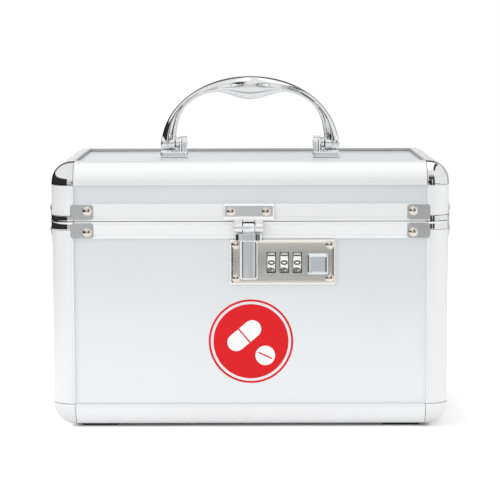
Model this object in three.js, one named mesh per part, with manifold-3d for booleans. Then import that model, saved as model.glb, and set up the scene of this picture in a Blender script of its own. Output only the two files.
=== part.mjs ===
// Medicine lock box: a small aluminium-framed case with a carrying handle, a hasp and a three-dial lock.
// Millimetres, +Z up, the front faces -Y, and z = 0 is the surface that the case stands on.
import * as THREE from 'three';
import { mergeVertices } from 'three/addons/utils/BufferGeometryUtils.js';
import { RoundedBoxGeometry } from 'three/addons/geometries/RoundedBoxGeometry.js';
import Module from 'manifold-3d';

const wasm = await Module();
wasm.setup();

// Case
const case_width = 250;
const case_depth = 150;
const body_height = 130;
const lid_height = 37;
const parting_gap = 0.4;
const foot_height = 2.5;
const foot_size = 24;
const foot_inset = 17;

// Clearances: between pieces that seat on each other, under riveted plates, and round moving pieces
const fit_gap = 0.3;
const plate_gap = 0.2;
const running_gap = 0.3;

// Panels and the extruded edge profile that holds them
const panel_thickness = 3;
const edge_leg = 14.5;
const edge_radius = 13;
const edge_wall = 1.6;
const slot_floor = 11.3;
const slot_web = 1.2;
const lip_wall = 1;
const lip_reach = 13;
const chamber_turn = 55;
const cap_wall = 1.3;

// Rims that meet at the parting line
const rim_height = 10.6;
const rim_slot = 7;
const rim_leg_wall = 1.2;
const tongue_gap = 0.4;
const tongue_wall = 1;
const tongue_height = 3.5;

// Corner brackets at the parting line
const ear_reach = 27;
const ear_lap = 1.8;
const ear_thickness = 0.6;
const ear_height = 9.8;
const ear_corner = 2;
const ear_edge = 0.7;
const band_proud = 0.6;
const band_thickness = 1.4;
const body_band_height = 5;
const lid_band_height = 3.2;

// Rivets
const rivet_inset = 3.7;
const ear_rivet_lift = 0.3;
const ear_rivet_head = 3;
const hinge_rivet_inset = 2.9;
const rivet_head = 2.6;
const rivet_dome = 1.2;
const rivet_shank = 1.2;
const rivet_sides = 6;

// Rear hinge with a stop
const hinge_width = 120;
const hinge_knuckles = 5;
const hinge_leaf = 1.2;
const hinge_leaf_height = 9.4;
const hinge_radius = 2.4;
const hinge_pin_radius = 1;
const hinge_pin_head = 1;
const hinge_stop_wall = 1.2;
const hinge_stop_under = 0.3;
const lid_open_angle = 100;

// Handle
const handle_half_span = 59;
const handle_rise = 49.2;
const handle_curve = 2.1;
const handle_inner_half_span = 49.3;
const handle_inner_rise = 40.2;
const handle_inner_curve = 3.15;
const handle_root_height = 4;
const grip_swell = 5.6;
const grip_swell_half_length = 26.5;
const grip_half_width = 7.5;
const leg_half_width = 5;
const handle_pivot_height = 9.5;
const handle_pivot_radius = 2;
const handle_pivot_reach = 6;
const handle_stations = 30;
const handle_sides = 12;

// Handle brackets
const bracket_inner = 41.5;
const bracket_outer = 59;
const bracket_depth = 16;
const bracket_base = 3.6;
const bracket_ear = 4.7;
const bracket_ear_radius = 4.4;
const bracket_boss_radius = 3.4;
const bracket_fillet = 2.4;
const bracket_rivet_x = 52.5;
const bracket_rivet_y = 5;
const bracket_rivet_head = 1;

// Hasp and the plate that carries it
const hasp_x = -1;
const hasp_plate_width = 32;
const hasp_plate_height = 9.9;
const hasp_plate_lift = 0.9;
const hasp_plate_thickness = 1;
const hasp_plate_border = 1.2;
const hasp_plate_border_rise = 0.6;
const hasp_rivet_x = 11;
const hasp_axis_drop = 3.4;
const hasp_knuckle_radius = 2.8;
const hasp_pin_radius = 1.1;
const hasp_knuckle_half = 3.7;
const hasp_knuckle_end = 9.1;
const hasp_strap = 1.3;
const hasp_yoke_width = 16.1;
const hasp_yoke_height = 4.4;
const hasp_yoke_drop = 3.9;
const hasp_arm_width = 11.2;
const hasp_arm_lift = 2.8;
const hasp_arm_thickness = 1.2;
const hasp_arm_border = 1.2;
const hasp_arm_border_rise = 0.8;
const hasp_corner = 2;
const staple_width = 1.6;
const staple_height = 6;
const staple_depth = 5.5;
const staple_eye = 2.8;
const staple_side_gap = 0.7;
const staple_swing_gap = 2;

// Lock plate, on the front panel under the body rim
const lock_x = 20.5;
const lock_width = 65.4;
const lock_height = 27.9;
const lock_drop = 0.5;
const lock_plate_lift = 2.6;
const lock_plate_wall = 1;
const lock_skirt = 1.2;
const lock_bevel = 1.2;
const lock_corner = 1.2;
const lock_rivet_inset = 3.4;

// Dials
const dial_count = 3;
const dial_first_x = 13.1;
const dial_pitch = 8.1;
const dial_radius = 7.5;
const dial_width = 5;
const dial_proud = 0.6;
const dial_digits = 10;
const dial_flat_turn = 13;
const dial_notch = 0.5;
const dial_drop = 0.5;
const dial_shaft_radius = 1.4;
const window_side_gap = 0.35;
const window_height = 13.4;

// Lock case behind the panel
const lock_case_margin = 3.4;
const lock_case_wall = 1.2;
const lock_case_depth = 15.5;
const lock_case_chamfer = 4.5;
const bulkhead_wall = 1.2;

// Release slide: the push button, the plate under the dials and the bolt
const slide_travel = 2.5;
const button_x = 42.2;
const button_width = 13;
const button_height = 13.4;
const button_drop = 1.3;
const button_proud = 1.9;
const button_rim = 1.5;
const button_dish = 0.8;
const button_corner = 1;
const stem_width = 7;
const stem_height = 8.6;
const slide_thickness = 2.2;
const slide_rail = 1.8;
const slide_arm = 2.2;
const bolt_height = 2.4;
const lug_wall = 1.5;

// Return spring of the slide
const spring_wire = 0.6;
const spring_radius = 2.2;
const spring_y = 10;
const spring_curls = 7;
const spring_steps = 8;
const spring_wire_sides = 5;

// Heights and depths that follow from the sizes above
const half_width = case_width / 2;
const half_depth = case_depth / 2;
const body_top = foot_height + body_height;
const lid_bottom = body_top + parting_gap;
const lid_top = lid_bottom + lid_height;
const panel_face = edge_wall + fit_gap;
const slot_end = panel_face + panel_thickness + fit_gap;
const panel_inset = slot_floor + fit_gap;
const rim_leg_end = slot_end + rim_leg_wall;
const tongue_start = rim_leg_end + tongue_gap;
const tongue_end = tongue_start + tongue_wall;
const rim_web = rim_height - rim_slot;
const bar_inset = edge_leg + fit_gap;
const corner_clear = edge_wall + fit_gap;
const ear_start = edge_leg - ear_lap;
const ear_front = -plate_gap - ear_thickness;

const aluminium = new THREE.MeshStandardMaterial({ color: 0xe9ebec, roughness: 0.35, metalness: 0.6 });
const laminate = new THREE.MeshStandardMaterial({ color: 0xdfe3e6, roughness: 0.4, metalness: 0.15 });
const chrome = new THREE.MeshStandardMaterial({ color: 0xd5d8db, roughness: 0.08, metalness: 1 });
const zinc = new THREE.MeshStandardMaterial({ color: 0xb4b6ba, roughness: 0.3, metalness: 0.9 });
const nickel = new THREE.MeshStandardMaterial({ color: 0xbab7b0, roughness: 0.3, metalness: 0.9 });
const steel = new THREE.MeshStandardMaterial({ color: 0x9ea1a5, roughness: 0.35, metalness: 1 });
const rubber = new THREE.MeshStandardMaterial({ color: 0x26302d, roughness: 0.8, metalness: 0 });
const white_plastic = new THREE.MeshStandardMaterial({ color: 0xf1f1ee, roughness: 0.4, metalness: 0 });

// Closed meshes and solids

// Keeps only the corner points, welds them, drops flat triangles and turns every face outwards
function closed(geometry) {
  const bare = new THREE.BufferGeometry();
  bare.setAttribute('position', geometry.getAttribute('position'));
  bare.setIndex(geometry.getIndex());
  const welded = mergeVertices(bare, 1e-4);
  const old = welded.getIndex().array;
  const position = welded.getAttribute('position');
  const corner = [0, 1, 2].map(() => new THREE.Vector3());
  const index = [];
  let volume = 0;
  for (let i = 0; i < old.length; i += 3) {
    const triangle = [old[i], old[i + 1], old[i + 2]];
    if (new Set(triangle).size < 3) continue;
    triangle.forEach((at, k) => corner[k].fromBufferAttribute(position, at));
    volume += corner[0].dot(corner[1].clone().cross(corner[2]));
    index.push(...triangle);
  }
  if (volume < 0) index.reverse();
  welded.setIndex(index);
  return welded;
}

function solid(geometry) {
  const mesh = closed(geometry);
  const vertProperties = new Float32Array(mesh.getAttribute('position').array);
  const triVerts = new Uint32Array(mesh.getIndex().array);
  return new wasm.Manifold(new wasm.Mesh({ numProp: 3, vertProperties, triVerts }));
}

// Edges that lie in one flat face are merged away
function geometry_of(body) {
  const mesh = body.asOriginal().getMesh();
  const geometry = new THREE.BufferGeometry();
  geometry.setAttribute('position', new THREE.BufferAttribute(mesh.vertProperties, 3));
  geometry.setIndex(new THREE.BufferAttribute(mesh.triVerts, 1));
  return geometry;
}

function joined(...geometries) {
  return geometry_of(geometries.map(solid).reduce((whole, part) => whole.add(part)));
}

function cut(geometry, ...cutters) {
  return geometry_of(cutters.map(solid).reduce((whole, part) => whole.subtract(part), solid(geometry)));
}

function common(first, second) {
  return geometry_of(solid(first).intersect(solid(second)));
}

function moved(geometry, x, y, z) {
  return geometry.clone().translate(x, y, z);
}

function swapped_xy(geometry) {
  const swap = new THREE.Matrix4().makeBasis(
    new THREE.Vector3(0, 1, 0), new THREE.Vector3(1, 0, 0), new THREE.Vector3(0, 0, 1));
  return geometry.clone().applyMatrix4(swap);
}

// Basic forms: each range is [from, to]

function block(x_range, y_range, z_range) {
  const size = [x_range, y_range, z_range].map(([from, to]) => to - from);
  const middle = [x_range, y_range, z_range].map(([from, to]) => (from + to) / 2);
  return new THREE.BoxGeometry(...size).translate(...middle);
}

// A shape in (x, y) raised along z, a shape in (x, z) given depth along y, a shape in (y, z) drawn along x
function raised(shape, [from, to], curveSegments = 4) {
  const options = { depth: to - from, bevelEnabled: false, curveSegments };
  return new THREE.ExtrudeGeometry(shape, options).translate(0, 0, from);
}

function deep(shape, [from, to], curveSegments = 4) {
  return raised(shape, [0, to - from], curveSegments).rotateX(Math.PI / 2).translate(0, to, 0);
}

function drawn(shape, [from, to], curveSegments = 4) {
  const turn = new THREE.Matrix4().makeBasis(
    new THREE.Vector3(0, 1, 0), new THREE.Vector3(0, 0, 1), new THREE.Vector3(1, 0, 0));
  return raised(shape, [from, to], curveSegments).applyMatrix4(turn);
}

function polygon(points) {
  return new THREE.Shape(points.map(([x, y]) => new THREE.Vector2(x, y)));
}

function rounded_rectangle([x0, x1], [y0, y1], radius) {
  const shape = new THREE.Shape();
  shape.absarc(x1 - radius, y0 + radius, radius, -Math.PI / 2, 0);
  shape.absarc(x1 - radius, y1 - radius, radius, 0, Math.PI / 2);
  shape.absarc(x0 + radius, y1 - radius, radius, Math.PI / 2, Math.PI);
  shape.absarc(x0 + radius, y0 + radius, radius, Math.PI, Math.PI * 1.5);
  return shape;
}

function disc(x, y, radius) {
  return new THREE.Shape().absarc(x, y, radius, 0, Math.PI * 2);
}

function rod_x([from, to], y, z, radius, sides = 16) {
  const rod = new THREE.CylinderGeometry(radius, radius, to - from, sides);
  return rod.rotateZ(-Math.PI / 2).translate((from + to) / 2, y, z);
}

// A skin through rings of points, closed by a flat fan at each end
function loft(rings) {
  const points = rings.flat();
  const count = rings[0].length;
  const index = [];
  for (let ring_at = 0; ring_at + 1 < rings.length; ring_at++) {
    for (let side = 0; side < count; side++) {
      const a = ring_at * count + side;
      const b = ring_at * count + (side + 1) % count;
      index.push(a, b, b + count, a, b + count, a + count);
    }
  }
  for (let side = 1; side + 1 < count; side++) {
    const end = points.length - count;
    index.push(0, side + 1, side);
    index.push(end, end + side, end + side + 1);
  }
  const geometry = new THREE.BufferGeometry().setFromPoints(points);
  geometry.setIndex(index);
  return closed(geometry);
}

// A domed rivet: its head rises from y = 0 towards -y, and its shank runs the given length towards +y
function rivet(shank_length, head_radius = rivet_head) {
  const profile = [
    [0, -shank_length], [rivet_shank, -shank_length], [rivet_shank, 0],
    [head_radius, 0], [head_radius * 0.72, rivet_dome * 0.7], [0, rivet_dome],
  ].map(([radius, height]) => new THREE.Vector2(radius, height));
  return closed(new THREE.LatheGeometry(profile, rivet_sides).rotateX(Math.PI));
}

// A hole for a rivet's shank, centred on its own middle and running along y
function rivet_hole(length) {
  return new THREE.CylinderGeometry(rivet_shank + fit_gap, rivet_shank + fit_gap, length, rivet_sides);
}

// The scene: the case is centred in depth between the hasp and the hinge stop

const case_group = new THREE.Group();

function placed(parent, x, y, z, turn = 0) {
  const group = new THREE.Group();
  group.position.set(x, y, z);
  group.rotation.z = turn;
  parent.add(group);
  return group;
}

function piece(parent, name, geometry, material) {
  const mesh = new THREE.Mesh(closed(geometry), material);
  mesh.name = name;
  parent.add(mesh);
  return mesh;
}

// A side's frame has x along the side, y inwards from its face and z up. A corner's frame has x and y
// inwards along the two faces that meet there.
const sides = [
  { name: 'front', x: 0, y: -half_depth, turn: 0, half_length: half_width },
  { name: 'right', x: half_width, y: 0, turn: Math.PI / 2, half_length: half_depth },
  { name: 'rear', x: 0, y: half_depth, turn: Math.PI, half_length: half_width },
  { name: 'left', x: -half_width, y: 0, turn: -Math.PI / 2, half_length: half_depth },
];
const corners = [
  { name: 'front_left', x: -half_width, y: -half_depth, turn: 0 },
  { name: 'front_right', x: half_width, y: -half_depth, turn: Math.PI / 2 },
  { name: 'rear_right', x: half_width, y: half_depth, turn: Math.PI },
  { name: 'rear_left', x: -half_width, y: half_depth, turn: -Math.PI / 2 },
];
for (const place of [...sides, ...corners]) {
  place.group = placed(case_group, place.x, place.y, 0, place.turn);
}
const front = sides[0].group;
const rear = sides[2].group;

// Extruded edge profile: a rounded outer skin, a slot for a panel on each side, two chambers, an inner lip

function edge_profile() {
  const lip_end = slot_end + lip_wall;
  const shape = new THREE.Shape();
  shape.moveTo(edge_leg, 0);
  shape.lineTo(edge_leg, edge_wall);
  shape.lineTo(slot_floor, edge_wall);
  shape.lineTo(slot_floor, slot_end);
  shape.lineTo(lip_reach, slot_end);
  shape.lineTo(lip_reach, lip_end);
  shape.lineTo(lip_end, lip_end);
  shape.lineTo(lip_end, lip_reach);
  shape.lineTo(slot_end, lip_reach);
  shape.lineTo(slot_end, slot_floor);
  shape.lineTo(edge_wall, slot_floor);
  shape.lineTo(edge_wall, edge_leg);
  shape.lineTo(0, edge_leg);
  shape.lineTo(0, edge_radius);
  shape.absarc(edge_radius, edge_radius, edge_radius, Math.PI, Math.PI * 1.5);
  shape.holes.push(chamber(false), chamber(true));
  return shape;
}

// The chamber between the skin and the slot's floor; the second one is the mirror of the first
function chamber(mirrored) {
  const skin = edge_radius - edge_wall;
  const wall = slot_floor - slot_web;
  const start = THREE.MathUtils.degToRad(180 + chamber_turn);
  const end = Math.PI * 2 - Math.acos((wall - edge_radius) / skin);
  const steps = 2;
  const points = [];
  for (let step = 0; step <= steps; step++) {
    const turn = start + (end - start) * step / steps;
    points.push([edge_radius + skin * Math.cos(turn), edge_radius + skin * Math.sin(turn)]);
  }
  points.push([wall, slot_end], [points[0][0], slot_end]);
  return polygon(mirrored ? points.map(([x, y]) => [y, x]) : points);
}

function skin_profile() {
  const shape = new THREE.Shape();
  shape.moveTo(edge_leg, 0);
  shape.lineTo(edge_leg, edge_wall);
  shape.lineTo(edge_radius, edge_wall);
  shape.absarc(edge_radius, edge_radius, edge_radius - edge_wall, Math.PI * 1.5, Math.PI, true);
  shape.lineTo(edge_wall, edge_leg);
  shape.lineTo(0, edge_leg);
  shape.lineTo(0, edge_radius);
  shape.absarc(edge_radius, edge_radius, edge_radius, Math.PI, Math.PI * 1.5);
  return shape;
}

const profile_arc = 6;

// Corner cap: a pressed shell over the corner where three edge profiles meet
function corner_cap() {
  const size = edge_leg * 3;
  const skin = new RoundedBoxGeometry(size, size, size, 3, edge_radius);
  const hollow = new RoundedBoxGeometry(size, size, size, 3, edge_radius - cap_wall);
  const shell = cut(moved(skin, size / 2, size / 2, size / 2),
    moved(hollow, size / 2 + cap_wall, size / 2 + cap_wall, size / 2 + cap_wall));
  return common(shell, block([-1, edge_leg], [-1, edge_leg], [-1, edge_leg]));
}

// Rim rings

// A ring that follows the case's walls between two depths from their faces, with round corners
function ring(outer_depth, inner_depth, z_range, curveSegments = 3) {
  const outline = (depth) => rounded_rectangle([depth - half_width, half_width - depth],
    [depth - half_depth, half_depth - depth], Math.max(edge_radius - depth, 1));
  const shape = outline(outer_depth);
  shape.holes.push(outline(inner_depth));
  return raised(shape, z_range, curveSegments);
}

function at_place(geometry, place) {
  return geometry.clone().rotateZ(place.turn).translate(place.x, place.y, 0);
}

// What the rims leave free at a corner: the post's skin and the bracket's band
function corner_clearance(z_range) {
  const square = block([-1, bar_inset], [-1, bar_inset], z_range);
  const room = new THREE.Shape();
  room.moveTo(edge_radius, corner_clear);
  room.lineTo(bar_inset + 1, corner_clear);
  room.lineTo(bar_inset + 1, bar_inset + 1);
  room.lineTo(corner_clear, bar_inset + 1);
  room.lineTo(corner_clear, edge_radius);
  room.absarc(edge_radius, edge_radius, edge_radius - corner_clear, Math.PI, Math.PI * 1.5);
  return cut(square, raised(room, [z_range[0] - 1, z_range[1] + 1], profile_arc));
}

// A hole through a rim's flange alone, for a rivet at (x, z) on the face
function flange_hole([x, z]) {
  return moved(rivet_hole(2 * edge_wall + 1), x, 0, z);
}

function rim(flange_range, web_range, web_depth, ear_rivet_z, front_rivets, rear_rivets) {
  const [low, high] = flange_range;
  const flange = ring(0, edge_wall, flange_range);
  const leg = ring(slot_end, rim_leg_end, flange_range);
  const web = ring(0, web_depth, web_range);
  const ear_hole = flange_hole([ear_reach - rivet_inset, ear_rivet_z]);
  const cutters = corners.flatMap((corner) =>
    [corner_clearance([low - 1, high + 1]), ear_hole, swapped_xy(ear_hole)]
      .map((cutter) => at_place(cutter, corner)));
  cutters.push(...front_rivets.map((rivet_place) => at_place(flange_hole(rivet_place), sides[0])));
  cutters.push(...rear_rivets.map((rivet_place) => at_place(flange_hole(rivet_place), sides[2])));
  return cut(joined(flange, leg, web), ...cutters);
}

// Panels of the body

const body_panel_range = [foot_height + panel_inset, body_top - rim_height + rim_slot - fit_gap];
const lock_z = body_top - rim_height - lock_drop - lock_height / 2;
const lock_x_range = [lock_x - lock_width / 2, lock_x + lock_width / 2];
const lock_z_range = [lock_z - lock_height / 2, lock_z + lock_height / 2];

function shrunk([from, to], margin) {
  return [from + margin, to - margin];
}

function lock_rivet_places() {
  const places = [];
  for (const x of shrunk(lock_x_range, lock_rivet_inset)) {
    for (const z of shrunk(lock_z_range, lock_rivet_inset)) places.push([x, z]);
  }
  return places;
}

// Outline of the lock case, cut back at its corners to pass between the rivets
function lock_case_outline(margin) {
  const [x0, x1] = shrunk(lock_x_range, lock_case_margin + margin);
  const [z0, z1] = shrunk(lock_z_range, lock_case_margin / 2 + margin);
  const chamfer = lock_case_chamfer - margin * (2 - Math.SQRT2);
  return polygon([
    [x0 + chamfer, z0], [x1 - chamfer, z0], [x1, z0 + chamfer], [x1, z1 - chamfer],
    [x1 - chamfer, z1], [x0 + chamfer, z1], [x0, z1 - chamfer], [x0, z0 + chamfer],
  ]);
}

for (const side of sides) {
  const reach = side.half_length - panel_inset;
  const depth_range = [panel_face, panel_face + panel_thickness];
  let panel = block([-reach, reach], depth_range, body_panel_range);
  if (side.name === 'front') {
    const opening = deep(lock_case_outline(-fit_gap), [panel_face - 1, panel_face + panel_thickness + 1]);
    const holes = lock_rivet_places().map(([x, z]) =>
      moved(rivet_hole(panel_thickness + 2), x, panel_face + panel_thickness / 2, z));
    panel = cut(panel, opening, ...holes);
  }
  piece(side.group, `body_${side.name}_panel`, panel, laminate);
}
piece(case_group, 'body_bottom_panel', block(
  shrunk([-half_width, half_width], panel_inset), shrunk([-half_depth, half_depth], panel_inset),
  [foot_height + panel_face, foot_height + panel_face + panel_thickness]), laminate);

// Body posts: the full profile up to the rim, then its skin alone up to the bracket's band
const post_bottom = foot_height + bar_inset;
const body_post = joined(
  raised(edge_profile(), [post_bottom, body_top - rim_height - fit_gap], profile_arc),
  raised(skin_profile(), [post_bottom, body_top - body_band_height - fit_gap], profile_arc));
const lid_post = raised(skin_profile(),
  [lid_bottom + lid_band_height + fit_gap, lid_top - bar_inset], profile_arc);
for (const corner of corners) {
  piece(corner.group, `body_post_${corner.name}`, body_post, aluminium);
  piece(corner.group, `lid_post_${corner.name}`, lid_post, aluminium);
}

// Edge bars round the bottom and the top
for (const side of sides) {
  const reach = side.half_length - bar_inset;
  const bar = drawn(edge_profile(), [-reach, reach], profile_arc);
  piece(side.group, `body_edge_${side.name}`, moved(bar, 0, 0, foot_height), aluminium);
  piece(side.group, `lid_edge_${side.name}`, moved(bar.clone().rotateX(-Math.PI / 2), 0, 0, lid_top),
    aluminium);
}

// Corner caps: the upper ones are the lower one turned over about the corner's diagonal
const lower_cap = corner_cap();
const turned_over = new THREE.Matrix4().makeBasis(
  new THREE.Vector3(0, 1, 0), new THREE.Vector3(1, 0, 0), new THREE.Vector3(0, 0, -1));
const upper_cap = lower_cap.clone().applyMatrix4(turned_over);
for (const corner of corners) {
  piece(corner.group, `body_cap_${corner.name}`, moved(lower_cap, 0, 0, foot_height), chrome);
  piece(corner.group, `lid_cap_${corner.name}`, moved(upper_cap, 0, 0, lid_top), chrome);
}

// Feet: square rubber pads under the bottom panel
const foot_range = [foot_inset, foot_inset + foot_size];
for (const corner of corners) {
  piece(corner.group, `foot_${corner.name}`,
    block(foot_range, foot_range, [0, foot_height + panel_face - fit_gap]), rubber);
}

// Rivets through the rims' flanges: (x, z) on the face that carries them
const body_ear_rivet_z = body_top - ear_edge - ear_height + rivet_inset + ear_rivet_lift;
const lid_ear_rivet_z = lid_bottom + ear_edge + ear_height - rivet_inset - ear_rivet_lift;
const hinge_axis_z = body_top + parting_gap / 2;
const knuckle_length = hinge_width / hinge_knuckles;

// up is 1 for the lid's leaf and -1 for the body's
function hinge_rivet_places(up) {
  const rivet_z = hinge_axis_z + up * (hinge_leaf_height - hinge_rivet_inset);
  return [-1, 0, 1].map((step) => [step * 2 * knuckle_length, rivet_z]);
}

const hasp_plate_range = [lid_bottom + hasp_plate_lift, lid_bottom + hasp_plate_lift + hasp_plate_height];
const hasp_rivet_z = (hasp_plate_range[0] + hasp_plate_range[1]) / 2;
const hasp_rivet_places = [hasp_x - hasp_rivet_x, hasp_x + hasp_rivet_x].map((x) => [x, hasp_rivet_z]);

// Rims: the body's carries the tongue that keeps dust out
const body_rim = joined(
  rim([body_top - rim_height, body_top], [body_top - rim_web, body_top], tongue_end,
    body_ear_rivet_z, [], hinge_rivet_places(-1)),
  ring(tongue_start, tongue_end, [body_top - rim_web / 2, body_top + tongue_height]));
piece(case_group, 'body_rim', body_rim, aluminium);
const lid_rim = rim([lid_bottom, lid_bottom + rim_height], [lid_bottom, lid_bottom + rim_web],
  rim_leg_end, lid_ear_rivet_z, hasp_rivet_places, hinge_rivet_places(1));
piece(case_group, 'lid_rim', lid_rim, aluminium);

// Lid walls: one strip of board bent round the four corners, in the rim's slot and the top edges' slots
const lid_wall_range = [lid_bottom + rim_web + fit_gap, lid_top - panel_inset];
piece(case_group, 'lid_wall_band',
  ring(panel_face, panel_face + panel_thickness, lid_wall_range, profile_arc), laminate);

// Lid top panel with holes for the handle brackets' rivets
const lid_panel_top = lid_top - panel_face;
const bracket_rivet_places = [];
for (const x of [-bracket_rivet_x, bracket_rivet_x]) {
  for (const y of [-bracket_rivet_y, bracket_rivet_y]) bracket_rivet_places.push([x, y]);
}
const lid_panel_range = [lid_panel_top - panel_thickness, lid_panel_top];
const lid_panel_holes = bracket_rivet_places.map(([x, y]) =>
  raised(disc(x, y, rivet_shank + fit_gap), [lid_panel_range[0] - 1, lid_panel_range[1] + 1], 2));
piece(case_group, 'lid_top_panel', cut(block(
  shrunk([-half_width, half_width], panel_inset), shrunk([-half_depth, half_depth], panel_inset),
  lid_panel_range), ...lid_panel_holes), laminate);

// Corner brackets: a band round the post's end and a riveted ear on each rim

function bracket_band([low, high]) {
  const outer = -band_proud;
  const inner = outer + band_thickness;
  const shape = new THREE.Shape();
  shape.moveTo(edge_leg, outer);
  shape.lineTo(edge_leg, inner);
  shape.lineTo(edge_radius, inner);
  shape.absarc(edge_radius, edge_radius, edge_radius - inner, Math.PI * 1.5, Math.PI, true);
  shape.lineTo(inner, edge_leg);
  shape.lineTo(outer, edge_leg);
  shape.lineTo(outer, edge_radius);
  shape.absarc(edge_radius, edge_radius, edge_radius - outer, Math.PI, Math.PI * 1.5);
  return raised(shape, [low, high], profile_arc);
}

function rim_bracket(band_range, ear_range, rivet_z) {
  const plate = deep(rounded_rectangle([ear_start, ear_reach], ear_range, ear_corner),
    [ear_front, -plate_gap], 1);
  const shank = ear_thickness + plate_gap + edge_wall;
  const head = moved(rivet(shank, ear_rivet_head), ear_reach - rivet_inset, ear_front, rivet_z);
  const ear = joined(plate, head);
  return joined(bracket_band(band_range), ear, swapped_xy(ear));
}

const body_bracket = rim_bracket([body_top - body_band_height, body_top],
  [body_top - ear_edge - ear_height, body_top - ear_edge], body_ear_rivet_z);
const lid_bracket = rim_bracket([lid_bottom, lid_bottom + lid_band_height],
  [lid_bottom + ear_edge, lid_bottom + ear_edge + ear_height], lid_ear_rivet_z);
for (const corner of corners) {
  piece(corner.group, `body_bracket_${corner.name}`, body_bracket, zinc);
  piece(corner.group, `lid_bracket_${corner.name}`, lid_bracket, zinc);
}

// Rear hinge: two leaves, a pin, and a stop on the lid's knuckles that meets the body's leaf when open
const hinge_axis_y = -plate_gap - hinge_radius;
const leaf_back = -plate_gap - hinge_leaf;
const leaf_clear = hinge_radius + 2 * running_gap;
const open_turn = THREE.MathUtils.degToRad(lid_open_angle);
const stop_reach = leaf_back - hinge_axis_y - running_gap / 2;
const stop_length = (stop_reach - hinge_stop_under * Math.sin(open_turn)) / -Math.cos(open_turn);

// up is 1 for the lid's leaf and -1 for the body's; the lid has the knuckles with an odd number
function hinge_leaf_piece(up) {
  const parts = [];
  const leaf_end = hinge_axis_z + up * hinge_leaf_height;
  const plate_range = (start) => [Math.min(start, leaf_end), Math.max(start, leaf_end)];
  parts.push(block([-hinge_width / 2, hinge_width / 2], [leaf_back, -plate_gap],
    plate_range(hinge_axis_z + up * leaf_clear)));
  for (let knuckle = 0; knuckle < hinge_knuckles; knuckle++) {
    const mine = (knuckle % 2 === 1) === (up === 1);
    if (!mine) continue;
    const start = -hinge_width / 2 + knuckle * knuckle_length;
    const x_range = shrunk([start, start + knuckle_length], running_gap / 2);
    parts.push(rod_x(x_range, hinge_axis_y, hinge_axis_z, hinge_radius));
    parts.push(block(x_range, [leaf_back, -plate_gap], plate_range(hinge_axis_z)));
    if (up === 1) {
      parts.push(block(x_range, [hinge_axis_y - stop_length, hinge_axis_y],
        [hinge_axis_z - hinge_stop_under, hinge_axis_z - hinge_stop_under + hinge_stop_wall]));
    }
  }
  for (const [x, z] of hinge_rivet_places(up)) {
    parts.push(moved(rivet(hinge_leaf + plate_gap + edge_wall), x, leaf_back, z));
  }
  const bore = rod_x([-hinge_width, hinge_width], hinge_axis_y, hinge_axis_z,
    hinge_pin_radius + running_gap, 12);
  return cut(joined(...parts), bore);
}

piece(rear, 'hinge_body_leaf', hinge_leaf_piece(-1), steel);
piece(rear, 'hinge_lid_leaf', hinge_leaf_piece(1), steel);
const pin_end = hinge_width / 2 + running_gap;
const hinge_pin = [-1, 1].map((end) => rod_x(
  end > 0 ? [pin_end, pin_end + hinge_pin_head] : [-pin_end - hinge_pin_head, -pin_end],
  hinge_axis_y, hinge_axis_z, hinge_radius * 0.8, 12));
piece(rear, 'hinge_pin', joined(rod_x([-pin_end - hinge_pin_head / 2, pin_end + hinge_pin_head / 2],
  hinge_axis_y, hinge_axis_z, hinge_pin_radius, 12), ...hinge_pin), steel);

// Handle brackets on the lid: an angle with a boss and a stub that the handle turns on
const pivot_z = lid_panel_top + handle_pivot_height;

function handle_bracket() {
  const base_range = [lid_panel_top + fit_gap, lid_panel_top + fit_gap + bracket_base];
  const ear_end = bracket_inner + bracket_ear;
  const half_depth_y = bracket_depth / 2;
  const angle = new THREE.Shape();
  angle.moveTo(bracket_inner, base_range[0]);
  angle.lineTo(bracket_outer, base_range[0]);
  angle.lineTo(bracket_outer, base_range[1]);
  angle.lineTo(ear_end + bracket_fillet, base_range[1]);
  angle.absarc(ear_end + bracket_fillet, base_range[1] + bracket_fillet, bracket_fillet,
    Math.PI * 1.5, Math.PI, true);
  angle.lineTo(ear_end, pivot_z + bracket_ear_radius);
  angle.lineTo(bracket_inner, pivot_z + bracket_ear_radius);
  const side_view = new THREE.Shape();
  side_view.moveTo(-half_depth_y, base_range[0]);
  side_view.lineTo(half_depth_y, base_range[0]);
  side_view.lineTo(half_depth_y, base_range[1]);
  side_view.lineTo(bracket_ear_radius, pivot_z);
  side_view.absarc(0, pivot_z, bracket_ear_radius, 0, Math.PI);
  side_view.lineTo(-half_depth_y, base_range[1]);
  const body = common(deep(angle, [-half_depth_y, half_depth_y]),
    drawn(side_view, [bracket_inner - 1, bracket_outer + 1]));
  const boss_end = handle_inner_half_span - running_gap;
  const boss = rod_x([ear_end - 1, boss_end], 0, pivot_z, bracket_boss_radius);
  const stub = rod_x([ear_end - 1, boss_end + handle_pivot_reach], 0, pivot_z, handle_pivot_radius);
  const rivets = [-bracket_rivet_y, bracket_rivet_y].flatMap((y) => {
    const head_top = lid_panel_range[0] - fit_gap;
    const shank = raised(disc(bracket_rivet_x, y, rivet_shank), [head_top - 0.5, base_range[0] + 0.5], 2);
    const head = raised(disc(bracket_rivet_x, y, rivet_head), [head_top - bracket_rivet_head, head_top], 2);
    return [shank, head];
  });
  return joined(body, boss, stub, ...rivets);
}

const right_bracket = handle_bracket();
piece(case_group, 'handle_bracket_right', right_bracket, zinc);
piece(case_group, 'handle_bracket_left', right_bracket.clone().rotateZ(Math.PI), zinc);

// Handle: an arch whose section swells into a grip, with an eye at each end

// A point on a super-ellipse over the pivots; turn runs from 0 at the right leg to pi at the left
function arch_point(turn, half_span, rise, power) {
  const across = Math.cos(turn);
  return new THREE.Vector3(
    Math.sign(across) * half_span * Math.abs(across) ** (2 / power),
    0,
    lid_panel_top + handle_root_height + rise * Math.abs(Math.sin(turn)) ** (2 / power));
}

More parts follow.
